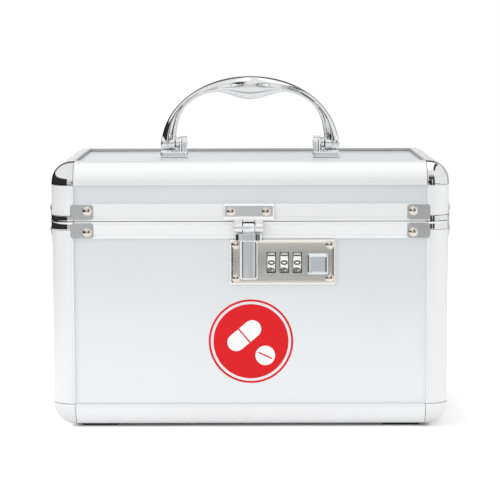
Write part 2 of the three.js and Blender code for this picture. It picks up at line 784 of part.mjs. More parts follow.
function arch_section(turn) {
  const outer = arch_point(turn, handle_half_span, handle_rise, handle_curve);
  const inner = arch_point(turn, handle_inner_half_span, handle_inner_rise, handle_inner_curve);
  const swell = Math.min(Math.abs(inner.x) / grip_swell_half_length, 1) * Math.PI / 2;
  inner.z -= grip_swell * Math.cos(swell) ** 2;
  const middle = outer.clone().add(inner).multiplyScalar(0.5);
  const up = outer.clone().sub(middle);
  const half_thickness = leg_half_width + (grip_half_width - leg_half_width) * Math.sin(turn) ** 2;
  const section = [];
  for (let side = 0; side < handle_sides; side++) {
    const angle = side / handle_sides * Math.PI * 2;
    const rise = Math.sign(Math.sin(angle)) * Math.abs(Math.sin(angle)) ** 0.8;
    const width = Math.sign(Math.cos(angle)) * Math.abs(Math.cos(angle)) ** 0.8;
    section.push(middle.clone().addScaledVector(up, rise).setY(half_thickness * width));
  }
  return section;
}

function handle_piece() {
  const sections = [];
  for (let station = 0; station <= handle_stations; station++) {
    sections.push(arch_section(station / handle_stations * Math.PI));
  }
  const above_pivots = block([-case_width, case_width], [-case_depth, case_depth],
    [pivot_z, pivot_z + case_width]);
  const arch = common(loft(sections), above_pivots);
  const eye_range = [handle_inner_half_span, handle_half_span - 0.4];
  const bore_end = handle_inner_half_span + handle_pivot_reach + running_gap;
  const both_ends = (range, radius) => [range, [-range[1], -range[0]]].map((x_range) =>
    rod_x(x_range, 0, pivot_z, radius));
  return cut(joined(arch, ...both_ends(eye_range, leg_half_width)),
    ...both_ends([handle_inner_half_span - 1, bore_end], handle_pivot_radius + running_gap));
}

piece(case_group, 'handle', handle_piece(), chrome);

// Hasp plate: a bordered plate on the lid's rim, with two knuckles and the pin between them
const lock_face = panel_face - fit_gap - lock_plate_lift;
const hasp_axis_z = body_top - hasp_axis_drop;
const hasp_axis_y = -running_gap - plate_gap - hasp_knuckle_radius;
const hasp_back = lock_face - running_gap;

function hasp_plate() {
  const x_range = [hasp_x - hasp_plate_width / 2, hasp_x + hasp_plate_width / 2];
  const outline = rounded_rectangle(x_range, hasp_plate_range, hasp_corner / 2);
  const plate_front = -plate_gap - hasp_plate_thickness;
  const plate = deep(outline, [plate_front, -plate_gap], 2);
  const frame = rounded_rectangle(x_range, hasp_plate_range, hasp_corner / 2);
  frame.holes.push(rounded_rectangle(shrunk(x_range, hasp_plate_border),
    shrunk(hasp_plate_range, hasp_plate_border), hasp_corner / 4));
  const border = deep(frame, [plate_front - hasp_plate_border_rise, -plate_gap], 2);
  const heads = hasp_rivet_places.map(([x, z]) =>
    moved(rivet(hasp_plate_thickness + plate_gap + edge_wall), x, plate_front, z));
  const knuckles = [-1, 1].flatMap((end) => {
    const x_pair = [hasp_knuckle_half + running_gap, hasp_knuckle_end].map((x) => hasp_x + end * x);
    const x_knuckle = [Math.min(...x_pair), Math.max(...x_pair)];
    const strap_back = hasp_axis_y + hasp_knuckle_radius;
    const strap = block(x_knuckle, [strap_back - hasp_strap, strap_back],
      [hasp_axis_z, hasp_plate_range[0] + hasp_plate_border]);
    return [rod_x(x_knuckle, hasp_axis_y, hasp_axis_z, hasp_knuckle_radius), strap];
  });
  const pin = rod_x([hasp_x - hasp_knuckle_end + 1, hasp_x + hasp_knuckle_end - 1],
    hasp_axis_y, hasp_axis_z, hasp_pin_radius, 12);
  return joined(plate, border, ...heads, ...knuckles, pin);
}

piece(front, 'hasp_plate', hasp_plate(), chrome);

// Hasp: a knuckle, a yoke, and a dished arm that carries the staple
const staple_z = lock_z;
const staple_x_range = [hasp_x - staple_width / 2, hasp_x + staple_width / 2];
const eye_y = staple_depth - staple_eye;

function hasp_piece() {
  const hasp_front = hasp_back - hasp_arm_thickness;
  const knuckle_range = [hasp_x - hasp_knuckle_half, hasp_x + hasp_knuckle_half];
  const knuckle = cut(rod_x(knuckle_range, hasp_axis_y, hasp_axis_z, hasp_knuckle_radius),
    rod_x(shrunk(knuckle_range, -1), hasp_axis_y, hasp_axis_z, hasp_pin_radius + running_gap, 12));
  const yoke_top = hasp_axis_z - hasp_yoke_drop;
  const yoke_bottom = yoke_top - hasp_yoke_height;
  const neck = block(knuckle_range, [hasp_front, hasp_back],
    [yoke_top - 1, hasp_axis_z - hasp_knuckle_radius + hasp_strap / 2]);
  const yoke = deep(rounded_rectangle([hasp_x - hasp_yoke_width / 2, hasp_x + hasp_yoke_width / 2],
    [yoke_bottom, yoke_top], hasp_corner), [hasp_front, hasp_back], 2);
  const arm_x_range = [hasp_x - hasp_arm_width / 2, hasp_x + hasp_arm_width / 2];
  const arm_bottom = lock_z_range[0] + hasp_arm_lift;
  const arm = deep(rounded_rectangle(arm_x_range, [arm_bottom, yoke_bottom + hasp_yoke_height / 2],
    hasp_corner), [hasp_front, hasp_back], 2);
  const border = rounded_rectangle(arm_x_range, [arm_bottom, yoke_bottom + hasp_arm_border], hasp_corner);
  border.holes.push(rounded_rectangle(shrunk(arm_x_range, hasp_arm_border),
    [arm_bottom + hasp_arm_border, yoke_bottom], hasp_corner / 2));
  const raised_border = deep(border, [hasp_front - hasp_arm_border_rise, hasp_back], 2);
  const staple = block(staple_x_range, [hasp_back - hasp_arm_thickness / 2, staple_depth],
    [staple_z - staple_height / 2, staple_z + staple_height / 2]);
  const eye = block(shrunk(staple_x_range, -1), [eye_y - staple_eye / 2, eye_y + staple_eye / 2],
    [staple_z - staple_eye / 2, staple_z + staple_eye / 2]);
  return cut(joined(knuckle, neck, yoke, arm, raised_border, staple), eye);
}

piece(front, 'hasp', hasp_piece(), chrome);

// Lock plate: a pressed cover with a bevelled border, windows for the dials, slots for staple and button
const lock_back = panel_face - fit_gap;
const lock_inside = lock_face + lock_plate_wall;
const dial_axis_y = lock_face - dial_proud + dial_radius;
const dial_z = lock_z - dial_drop;
const dial_places = Array.from({ length: dial_count }, (_, dial) => dial_first_x + dial * dial_pitch);
const stem_x_range = [button_x - stem_width / 2, button_x + stem_width / 2];
const button_z = lock_z - button_drop;
const stem_z_range = [button_z - stem_height / 2, button_z + stem_height / 2];

function plate_ring(margin, y) {
  const outline = rounded_rectangle(shrunk(lock_x_range, margin), shrunk(lock_z_range, margin),
    lock_corner);
  return outline.getPoints(2).map((point) => new THREE.Vector3(point.x, y, point.y));
}

function lock_plate() {
  const through = [lock_face - 1, lock_back];
  const cover = loft([plate_ring(0, lock_back), plate_ring(0, lock_face + lock_bevel * 0.75),
    plate_ring(lock_bevel, lock_face)]);
  const hollow = block(shrunk(lock_x_range, lock_skirt), [lock_inside, lock_back + 1],
    shrunk(lock_z_range, lock_skirt));
  const windows = dial_places.map((x) => {
    const half = dial_width / 2 + window_side_gap;
    return deep(rounded_rectangle([x - half, x + half],
      [dial_z - window_height / 2, dial_z + window_height / 2], window_side_gap), through, 1);
  });
  const staple_slot = block(shrunk(staple_x_range, -staple_side_gap), through,
    [staple_z - staple_height / 2 - staple_swing_gap, staple_z + staple_height / 2 + 2 * running_gap]);
  const stem_slot = block([stem_x_range[0] - running_gap, stem_x_range[1] + slide_travel + running_gap],
    through, shrunk(stem_z_range, -running_gap));
  const rivets = lock_rivet_places().map(([x, z]) =>
    moved(rivet(slot_end - lock_face), x, lock_face, z));
  return joined(cut(cover, hollow, ...windows, staple_slot, stem_slot), ...rivets);
}

piece(front, 'lock_plate', lock_plate(), nickel);

// Lock case: a tray behind the plate with two bulkheads that hold the dials' shaft
const dial_side_gap = (dial_pitch - dial_width) / 4;
const bulkhead_left = dial_places[0] - dial_width / 2 - dial_side_gap - bulkhead_wall;
const bulkhead_right = dial_places[dial_count - 1] + dial_width / 2 + dial_side_gap;
const case_x_range = shrunk(lock_x_range, lock_case_margin + lock_case_wall);
const case_z_range = shrunk(lock_z_range, lock_case_margin / 2 + lock_case_wall);
const slide_y_range = [eye_y - slide_thickness / 2, eye_y + slide_thickness / 2];
const rail_z_range = [case_z_range[0] + running_gap, case_z_range[0] + running_gap + slide_rail];

function lock_case() {
  const case_y_range = [lock_inside + fit_gap, lock_case_depth];
  const inner_depth = lock_case_depth - lock_case_wall;
  const tray = cut(deep(lock_case_outline(0), case_y_range),
    deep(lock_case_outline(lock_case_wall), [case_y_range[0] - 1, inner_depth]));
  const notch = (x) => block([x - 1, x + bulkhead_wall + 1], shrunk(slide_y_range, -running_gap),
    [case_z_range[0] - 1, rail_z_range[1] + running_gap]);
  const bulkhead_y_range = [case_y_range[0], inner_depth + lock_case_wall / 2];
  const bulkheads = [bulkhead_left, bulkhead_right].map((x) => cut(
    block([x, x + bulkhead_wall], bulkhead_y_range, shrunk(case_z_range, -lock_case_wall / 2)), notch(x)));
  const shaft = rod_x([bulkhead_left + bulkhead_wall / 2, bulkhead_right + bulkhead_wall / 2],
    dial_axis_y, dial_z, dial_shaft_radius, 12);
  return joined(tray, ...bulkheads, shaft);
}

piece(front, 'lock_case', lock_case(), zinc);

// Dials: wheels with a flat for each digit and a notch between flats
function dial_wheel() {
  const outline = [];
  const add_point = (degrees, radius) => {
    const turn = THREE.MathUtils.degToRad(degrees);
    outline.push([-radius * Math.cos(turn), radius * Math.sin(turn)]);
  };
  const step = 360 / dial_digits;
  for (let digit = 0; digit < dial_digits; digit++) {
    add_point(digit * step - dial_flat_turn, dial_radius);
    add_point(digit * step + dial_flat_turn, dial_radius);
    add_point((digit + 0.5) * step, dial_radius - dial_notch);
  }
  const wheel = polygon(outline);
  wheel.holes.push(disc(0, 0, dial_shaft_radius + running_gap));
  return drawn(wheel, [-dial_width / 2, dial_width / 2], 6);
}

dial_places.forEach((x, dial) => {
  const place = placed(front, x, dial_axis_y, dial_z);
  piece(place, `dial_${dial + 1}`, dial_wheel(), white_plastic);
});

// Release slide: the dished button, its stem, the plate that passes under the dials, and the bolt's nose,
// which stops short of the staple's eye
const lug_x_range = [stem_x_range[0] - lug_wall, stem_x_range[0]];

function release_slide() {
  const button_back = lock_face - running_gap;
  const button_front = button_back - button_proud;
  const button_x_range = [button_x - button_width / 2, button_x + button_width / 2];
  const button_z_range = [button_z - button_height / 2, button_z + button_height / 2];
  const button = deep(rounded_rectangle(button_x_range, button_z_range, button_corner),
    [button_front, button_back], 2);
  const half_dish = button_width / 2 - button_rim;
  const dish_radius = (half_dish ** 2 + button_dish ** 2) / (2 * button_dish);
  const bowl = new THREE.CylinderGeometry(dish_radius, dish_radius, button_height, 48).rotateX(Math.PI / 2);
  const dish = common(moved(bowl, button_x, button_front + button_dish - dish_radius, button_z),
    block(shrunk(button_x_range, button_rim), [button_front - 1, button_back],
      shrunk(button_z_range, button_rim)));
  const stem = block(stem_x_range, [button_back - button_proud / 4, slide_y_range[0] + slide_thickness / 2],
    stem_z_range);
  const nose = staple_x_range[1] + running_gap;
  const arm = [nose + slide_arm, nose + 2 * slide_arm];
  const web = [lug_x_range[0], stem_x_range[0] + slide_arm];
  const bolt = [staple_z - bolt_height / 2, staple_z + bolt_height / 2];
  const plate = deep(polygon([
    [nose, bolt[0]], [arm[0], bolt[0]], [arm[0], rail_z_range[0]], [web[1], rail_z_range[0]],
    [web[1], stem_z_range[1]], [web[0], stem_z_range[1]], [web[0], rail_z_range[1]],
    [arm[1], rail_z_range[1]], [arm[1], bolt[1]], [nose, bolt[1]],
  ]), slide_y_range);
  const lug = block(lug_x_range, [slide_y_range[0], spring_y + spring_radius + spring_wire],
    [button_z - spring_radius - spring_wire, button_z + spring_radius + spring_wire]);
  return joined(cut(button, dish), stem, plate, lug);
}

piece(front, 'lock_slide', release_slide(), chrome);

// Return spring: one wire from the slide's lug to the end wall of the lock case, its ends straight
function return_spring() {
  const start = lug_x_range[1] + fit_gap;
  const length = case_x_range[1] - fit_gap - start;
  const pitch = (length - 2 * spring_wire) / spring_curls;
  const centre = (turn) => new THREE.Vector3(start + spring_wire + pitch * turn,
    spring_y + spring_radius * Math.cos(turn * Math.PI * 2),
    button_z + spring_radius * Math.sin(turn * Math.PI * 2));
  const steps = spring_curls * spring_steps;
  const path = Array.from({ length: steps + 1 }, (_, step) => centre(step / spring_steps));
  const along = new THREE.Vector3(1, 0, 0);
  path.unshift(path[0].clone().addScaledVector(along, -spring_wire));
  path.push(path[steps + 1].clone().addScaledVector(along, spring_wire));
  const rings = path.map((point, at) => {
    const before = path[Math.max(at - 1, 0)];
    const after = path[Math.min(at + 1, path.length - 1)];
    const forward = after.clone().sub(before).normalize();
    const outward = new THREE.Vector3(0, point.y - spring_y, point.z - button_z).normalize();
    const across = forward.clone().cross(outward).normalize();
    return Array.from({ length: spring_wire_sides }, (_, side) => {
      const turn = side / spring_wire_sides * Math.PI * 2;
      return point.clone().addScaledVector(outward, Math.cos(turn) * spring_wire / 2)
        .addScaledVector(across, Math.sin(turn) * spring_wire / 2);
    });
  });
  console.log(`lock spring: least gap to itself ${least_gap(path).toFixed(2)} mm`);
  return loft(rings);
}

// The least distance between stretches of the wire that are over half a curl apart, less the wire itself
function least_gap(path) {
  let least = Infinity;
  for (let first = 0; first < path.length; first++) {
    for (let second = first + spring_steps / 2 + 1; second < path.length; second++) {
      least = Math.min(least, path[first].distanceTo(path[second]) - spring_wire);
    }
  }
  return least;
}

piece(front, 'lock_spring', return_spring(), steel);

// The origin lies under the middle of the whole, from the hasp's knuckles to the hinge's stop
const front_reach = hasp_knuckle_radius - hasp_axis_y;
const rear_reach = stop_length - hinge_axis_y;
case_group.position.y = (front_reach - rear_reach) / 2;

export default case_group;
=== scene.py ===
# A small medicine case: aluminium frame, laminate panels, chromed corners, carrying handle, three-dial lock.
# Shapes are drawn in millimetres in the case's own frame, with x to the right, y to the rear from the middle
# of the case and z up from the table, and are put down in metres where the solid model has them.
from math import cos, exp, pi, radians, sin

import bmesh
import bpy
from mathutils import Matrix, Vector


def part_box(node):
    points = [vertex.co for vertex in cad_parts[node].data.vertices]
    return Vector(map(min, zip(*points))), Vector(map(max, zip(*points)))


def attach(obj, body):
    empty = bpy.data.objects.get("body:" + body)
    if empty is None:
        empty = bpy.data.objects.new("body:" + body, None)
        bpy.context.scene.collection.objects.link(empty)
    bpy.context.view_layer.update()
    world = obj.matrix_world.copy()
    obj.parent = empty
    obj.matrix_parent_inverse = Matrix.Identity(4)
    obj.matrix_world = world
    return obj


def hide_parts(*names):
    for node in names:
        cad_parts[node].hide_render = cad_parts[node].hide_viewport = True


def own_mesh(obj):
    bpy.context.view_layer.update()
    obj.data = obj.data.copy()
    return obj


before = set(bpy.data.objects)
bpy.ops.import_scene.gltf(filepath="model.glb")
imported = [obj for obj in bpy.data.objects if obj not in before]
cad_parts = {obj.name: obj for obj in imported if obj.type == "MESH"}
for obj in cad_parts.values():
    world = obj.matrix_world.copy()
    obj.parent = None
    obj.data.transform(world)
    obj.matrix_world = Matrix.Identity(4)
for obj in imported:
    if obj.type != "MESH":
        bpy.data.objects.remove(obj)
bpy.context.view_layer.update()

MM = 0.001
rim_low, rim_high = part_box("body_rim")
CASE_MIDDLE = (rim_low[1] + rim_high[1]) / 2

# Camera: 1.28 m in front of the case and a little above its top, with a long lens, as in the photograph. It
# looks slightly down, and nothing shifts or blurs its picture.
CAMERA_LEFT, CAMERA_BACK, CAMERA_HEIGHT, LENS, SENSOR_WIDTH = 0.0008, 1.27867, 0.25317, 139.57, 36
CAMERA_YAW, CAMERA_PITCH, CAMERA_ROLL = -0.0005, -0.1145, 0.002


def added(name, data):
    """An object of this name and data, put into the scene."""
    thing = bpy.data.objects.new(name, data)
    bpy.context.collection.objects.link(thing)
    return thing


camera_data = bpy.data.cameras.new("camera")
camera_data.sensor_width = SENSOR_WIDTH
camera_data.lens = LENS
camera = added("camera", camera_data)
level_view = Matrix.Rotation(pi / 2, 3, "X")
heading = (Matrix.Rotation(CAMERA_YAW, 3, "Z") @ Matrix.Rotation(CAMERA_PITCH, 3, "X")
           @ Matrix.Rotation(CAMERA_ROLL, 3, "Y") @ level_view)
camera.matrix_world = (Matrix.Translation((-CAMERA_LEFT, -CAMERA_BACK + CASE_MIDDLE, CAMERA_HEIGHT))
                       @ heading.to_4x4())
bpy.context.scene.camera = camera
bpy.context.scene.view_settings.view_transform = "Standard"


# Studio: a white room with soft lamps. Polished metal also sees the grey room behind the camera, the dark end
# of the room on the left, a narrow dark gap on the right, and the shaded edge of the ceiling behind the case.
class Value:
    """A socket in a node tree. Arithmetic on it adds the Math nodes that work the result out."""

    def __init__(self, tree, socket=None):
        self.tree = tree
        self.socket = socket

    def node(self, kind, inputs=None, output=0, **settings):
        """A new node of this kind: its settings are set first, then the values and links of its inputs."""
        node = self.tree.nodes.new("ShaderNode" + kind)
        for name, value in settings.items():
            setattr(node, name, value)
        for name, value in (inputs or {}).items():
            if isinstance(value, Value):
                self.tree.links.new(value.socket, node.inputs[name])
            else:
                node.inputs[name].default_value = value
        return Value(self.tree, node.outputs[output])

    def maths(self, operation, *values):
        return self.node("Math", dict(enumerate(values)), operation=operation)

    def mix(self, factor, first, second):
        return self.node("Mix", {0: factor, 6: (*first, 1), 7: (*second, 1)}, output=2, data_type="RGBA")

    def step(self, low, high):
        return self.node("MapRange", {"Value": self, "From Min": low, "From Max": high},
                         interpolation_type="SMOOTHSTEP")

    def fade(self, low, high):
        return 1 - self.step(low, high)

    def size(self):
        return self.maths("ABSOLUTE", self)

    def root(self):
        return self.maths("SQRT", self)

    def at_least(self, low):
        return self.maths("MAXIMUM", self, low)

    def __add__(self, other):
        return self.maths("ADD", self, other)

    def __sub__(self, other):
        return self.maths("SUBTRACT", self, other)

    def __rsub__(self, other):
        return self.maths("SUBTRACT", other, self)

    def __mul__(self, other):
        return self.maths("MULTIPLY", self, other)

    def __truediv__(self, other):
        return self.maths("DIVIDE", self, other)

    def __rtruediv__(self, other):
        return self.maths("DIVIDE", other, self)

    __radd__ = __add__
    __rmul__ = __mul__


world = bpy.data.worlds.new("studio")
bpy.context.scene.world = world
world.use_nodes = True
sky = Value(world.node_tree)
direction = sky.node("TexCoord", output="Generated")
east, north, up = [sky.node("SeparateXYZ", {0: direction}, output=axis) for axis in range(3)]
facing = 0 - north / (east * east + north * north).root()
on_right = east.step(-0.02, 0.02)
left_dark = (1 - on_right) * up.fade(0.27, 0.33) * facing.fade(0.9, 0.93) * north.fade(0.9, 0.94)
right_slit = facing.step(0.925, 0.935) * facing.fade(0.95, 0.96) * up.fade(0.1, 0.3)
right_dark = (on_right * up.fade(0.3, 0.75) * facing.step(0.83, 0.86) * facing.fade(0.985, 0.993)
              * (1 - right_slit))
right_wall = on_right * up.fade(0.3, 0.5) * facing.fade(0.83, 0.86) * north.fade(0.9, 0.94)
right_edge = on_right * north.step(0.5, 0.78) * north.fade(0.95, 0.99) * up.fade(0.3, 0.5)
room = facing.step(0.9, 0.94) * up.fade(-0.02, 0.4)
lamp_face = up.step(0.62, 0.66) * north.step(-0.4, -0.3)
lamp_edge = lamp_face * east.step(0.34, 0.38) * east.fade(0.48, 0.52)
lamp_inside = lamp_face * east.fade(0.34, 0.38) * on_right
horizon = facing.step(0.3, 0.5) * up.size().fade(0.018, 0.036)
backdrop = up.fade(0.28, 0.34) * east.size().fade(0.42, 0.5)
softbox = up.step(0.3, 0.36) * up.fade(0.8, 0.86) * facing.fade(0.72, 0.78) * facing.step(-0.3, -0.2)
overhead = up.step(0.3, 0.36) * (1 - softbox)
ceiling_edge = north.step(0.62, 0.7) * (1 - backdrop) * east.fade(0.25, 0.5)
seen = 1 - softbox * 0.08 + lamp_inside * 0.5
for patch, dimmed in ((left_dark, 0.97), (right_dark, 0.96), (right_wall, 0.08), (room, 0.44), (horizon, 0.85),
                      (ceiling_edge, 0.85), (overhead, 0.1), (right_edge, 0.5), (lamp_edge, 0.92)):
    seen = seen * (1 - patch * dimmed)


def rays(maker):
    """Masks for what the eye sees, for what metal and glass show, and for all other light."""
    eye, gloss, through = [maker.node("LightPath", output=f"Is {kind} Ray")
                           for kind in ("Camera", "Glossy", "Transmission")]
    metal = gloss + through
    return eye, metal, 1 - eye - metal


AMBIENT = 0.915
for_eye, for_metal, for_rest = rays(sky)
strength = for_eye + for_metal * seen + for_rest * AMBIENT
background = world.node_tree.nodes["Background"]
world.node_tree.links.new(strength.socket, background.inputs["Strength"])
background.inputs["Color"].default_value = (1, 1, 1, 1)
LAMP_TARGET = Vector((0, 0, 0.1))
for lamp_name, lamp_at, lamp_size, lamp_power in (("lamp_top", (0, -0.3, 1.4), 1.2, 1.5),
                                                  ("lamp_left", (-1.3, -1.2, 0.9), 0.9, 8.5),
                                                  ("lamp_right", (1.4, -1.0, 0.8), 0.9, 0.2),
                                                  ("lamp_rear", (0.3, 1.5, 0.9), 0.9, 3)):
    light = bpy.data.lights.new(lamp_name, "AREA")
    light.shape = "SQUARE"
    light.size = lamp_size
    light.energy = lamp_power
    lamp = added(lamp_name, light)
    lamp.location = lamp_at
    lamp.rotation_euler = (LAMP_TARGET - Vector(lamp_at)).to_track_quat("-Z", "Y").to_euler()
    lamp.visible_glossy = False


# Table: plain and white, 2 m square. It keeps the case's shadow. It glows white to the eye and in reflections,
# but the glow is cut off in a footprint under the case, so the narrow gap there is darkest: real shadow, with
# its edge painted by the footprint. Beside the case's right end a painted shadow is taken out of the glow, and
# near the case the table also glows for other light, painted light that brightens the case's lower parts.
class Finish:
    """A material with the name of its slot. Values are made with paint from place, and then set."""

    def __init__(self, name, slot):
        self.material = bpy.data.materials.new(name)
        self.material.use_nodes = True
        self.slot = slot
        self.tree = self.material.node_tree
        self.shader = self.tree.nodes["Principled BSDF"]
        self.paint = Value(self.tree)
        self.place = self.paint.node("TexCoord", output="Object")

    def noise(self, scale, detail=3, stretch=(1, 1, 1)):
        vector = self.paint.node("Mapping", {"Vector": self.place, "Scale": stretch})
        return self.paint.node("TexNoise", {"Vector": vector, "Scale": scale, "Detail": detail}, output="Fac")

    def bump(self, height, strength, distance):
        return self.paint.node("Bump", {"Height": height, "Strength": strength, "Distance": distance},
                               output="Normal")

    def set(self, **sockets):
        for name, value in sockets.items():
            socket = self.shader.inputs[name.replace("_", " ")]
            if isinstance(value, Value):
                self.tree.links.new(value.socket, socket)
            else:
                socket.default_value = (*value, 1) if isinstance(value, tuple) else value
        return self

    def dress(self, node):
        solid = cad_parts[node]
        solid.data.materials.clear()
        solid.data.materials.append(self.material)


table_white = Finish("table_white", "")
cloth = table_white.paint
spot_x, spot_y = [cloth.node("SeparateXYZ", {0: table_white.place}, output=axis) for axis in range(2)]
GAP_HALF_X, GAP_HALF_Y = 0.109, 0.057
off_x, off_y = (spot_x.size() - GAP_HALF_X).at_least(0), (spot_y.size() - GAP_HALF_Y).at_least(0)
outside = (off_x * off_x + off_y * off_y).root()
away = outside.step(0.0, 0.009)
to_eye, to_metal, to_rest = rays(cloth)
# Painted shadow: the glow that the eye sees is taken down beside the case's right end.
painted_shadow = (spot_x.step(0.1, 0.12) * spot_y.size().fade(0.05, 0.09)
         * (1 - outside.step(0.016, 0.05) * 0.3 - outside.step(0.05, 0.08) * 0.7))
# For other light the table glows near the case: painted light on the case's lower parts.
glow_and_painted_light = (to_eye * (0.03 + away * 0.6 + outside.step(0.05, 0.5) * 0.3 - painted_shadow * 0.43)
        + to_metal * away * 0.2 + to_rest * (away * outside.fade(0.1, 0.4) * 0.12))
table_white.set(Base_Color=(0.8, 0.8, 0.8), Roughness=0.9, Specular_IOR_Level=0, Emission_Strength=1,
                Emission_Color=cloth.mix(glow_and_painted_light, (0, 0, 0), (1, 1, 1)),
                Alpha=1 - to_metal * outside.step(0.35, 0.6))
table_mesh = bpy.data.meshes.new("table")
table_mesh.from_pydata([(-1, -1, 0), (1, -1, 0), (1, 1, 0), (-1, 1, 0)], [], [(0, 1, 2, 3)])
table_mesh.materials.append(table_white.material)
added("table", table_mesh)


# Panels: 3 mm board faced with a silver grey laminate that has a very fine pebbled grain. Their edges sit in
# the slots of the aluminium profiles, so nothing else holds them.
laminate = Finish("panel_laminate", "panel_laminate")
pebbles = laminate.noise(2600, 2)
clouding = laminate.noise(14, 4)
laminate.set(
    Base_Color=laminate.paint.mix(clouding.step(0.35, 0.65) * 0.5 + pebbles * 0.3,
                                  (0.885, 0.915, 0.935), (0.915, 0.94, 0.96)),
    Roughness=0.3 + clouding * 0.06 + pebbles * 0.06,
    Metallic=0.55,
    Normal=laminate.bump(pebbles, 0.12, 0.00006),
    Coat_Weight=0.25,
    Coat_Roughness=0.12)
for node in ("body_front_panel", "body_right_panel", "body_rear_panel", "body_left_panel",
             "body_bottom_panel", "lid_wall_band", "lid_top_panel"):
    laminate.dress(node)


# Edge profiles: one extruded section of satin anodised aluminium, with a rounded skin and a slot for each of
# the two panels that meet in it. Four posts stand at the corners and eight bars run round bottom and top.
HALF_X, HALF_Y = 125, 75
BODY_TOP, LID_BOTTOM, LID_TOP, FOOT = 132.5, 132.9, 169.9, 2.5
EDGE_LEG, EDGE_RADIUS, EDGE_WALL, SLOT_END, CORNER_GAP = 14.5, 13, 1.6, 5.2, 0.3


def spot(x, y, turn):
    """A frame on a side, with x along it and y inwards, or at a corner, with both inwards."""
    return Matrix.Translation((x, y, 0)) @ Matrix.Rotation(radians(turn), 4, "Z")


CORNERS = {name: spot(x, y, turn) for name, x, y, turn in (
    ("front_left", -HALF_X, -HALF_Y, 0), ("front_right", HALF_X, -HALF_Y, 90),
    ("rear_right", HALF_X, HALF_Y, 180), ("rear_left", -HALF_X, HALF_Y, -90))}
SIDES = {name: (spot(x, y, turn), half_length - EDGE_LEG - CORNER_GAP) for name, x, y, turn, half_length in (
    ("front", 0, -HALF_Y, 0, HALF_X), ("right", HALF_X, 0, 90, HALF_Y),
    ("rear", 0, HALF_Y, 180, HALF_X), ("left", -HALF_X, 0, -90, HALF_Y))}


def across(axis, u, v, t):
    """The point at (u, v) in the plane across an axis, and at t along it."""
    return {"x": (t, u, v), "y": (u, t, v), "z": (u, v, t)}[axis]


class Form:
    """A shape in the making, in millimetres: points, and the faces that join them."""

    def __init__(self):
        self.points = []
        self.faces = []

    def add(self, other, place=Matrix()):
        start = len(self.points)
        self.points += [place @ Vector(point) for point in other.points]
        self.faces += [[start + corner for corner in face] for face in other.faces]
        return self

    def loft(self, rings, loop=False):
        start = len(self.points)
        count = len(rings[0])
        for ring in rings:
            self.points += [Vector(point) for point in ring]
        for at in range(len(rings) if loop else len(rings) - 1):
            here = start + at * count
            there = start + (at + 1) % len(rings) * count
            for step in range(count):
                beside = (step + 1) % count
                self.faces.append([here + step, here + beside, there + beside, there + step])
        if not loop:
            self.faces.append([start + step for step in reversed(range(count))])
            self.faces.append([start + (len(rings) - 1) * count + step for step in range(count)])
        return self


def prism(outline, span, axis):
    return Form().loft([[across(axis, u, v, t) for u, v in outline] for t in span])


def shape_of(form, weld):
    """The form in Blender's terms, with its faces looking outwards. Weld joins the points that lie together."""
    shape = bmesh.new()
    corners = [shape.verts.new(point) for point in form.points]
    for face in form.faces:
        shape.faces.new([corners[corner] for corner in face])
    if weld:
        bmesh.ops.remove_doubles(shape, verts=shape.verts, dist=0.001)
    bmesh.ops.recalc_face_normals(shape, faces=shape.faces)
    return shape


def put(name, form, finish, body, *replaced, bevel=0, place=Matrix(), weld=False, sharp=32):
    """Makes a piece of a form: its edges are broken by bevel millimetres, and it rides on the body."""
    shape = shape_of(form, weld)
    shape.transform(Matrix.Translation((0, CASE_MIDDLE, 0)) @ Matrix.Scale(MM, 4) @ place)
    mesh = bpy.data.meshes.new(name)
    shape.to_mesh(mesh)
    shape.free()
    mesh.polygons.foreach_set("use_smooth", [True] * len(mesh.polygons))
    mesh.set_sharp_from_angle(angle=radians(sharp))
    mesh.materials.append(finish.material)
    piece = added(name, mesh)
    if bevel:
        rounding = piece.modifiers.new("edges", "BEVEL")
        rounding.width = bevel * MM
        rounding.segments = 2
        rounding.limit_method = "ANGLE"
        rounding.angle_limit = radians(sharp)
    shading = piece.modifiers.new("shading", "WEIGHTED_NORMAL")
    shading.keep_sharp = True
    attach(piece, body)
    if replaced:
        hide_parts(*replaced)
    return piece


def brushed(name, slot, lines, patches, colours, roughness, bump, gleam=1.0):
    """Metal with fine lines, a noise drawn out along one axis, on soft patches of a second noise."""
    metal = Finish(name, slot)
    line, patch = metal.noise(*lines), metal.noise(*patches)
    smooth, by_line, by_patch = roughness
    rough = smooth + line * by_line
    return metal.set(Base_Color=metal.paint.mix(patch, *colours), Metallic=gleam,
                     Roughness=rough + patch * by_patch if by_patch else rough, Normal=metal.bump(line, *bump))


def satin(name, along, gleam=0.45):
    """Satin aluminium whose fine drawing lines run along one axis. Gleam is its metallic share; less gleam
    reads paler.
    """
    stretch = [0.02 if axis == along else 1 for axis in "xyz"]
    return brushed(name, "satin_aluminium", (5200, 2, stretch), (26, 3),
                   ((0.89, 0.9, 0.908), (0.92, 0.93, 0.938)), (0.4, 0.1, 0.05), (0.08, 0.00004), gleam)


satin_x, satin_y = [satin("satin_aluminium_" + axis, axis) for axis in "xy"]
# The posts and the two rims get less gleam than the bars, so that they read paler: lit and shaded copies of one
# finish, which is painted light.
satin_z = satin("satin_aluminium_z", "z", 0.36)


def arc(centre_x, centre_y, radius, start, end, steps):
    turns = [radians(start + (end - start) * step / steps) for step in range(steps + 1)]
    return [(centre_x + radius * cos(turn), centre_y + radius * sin(turn)) for turn in turns]


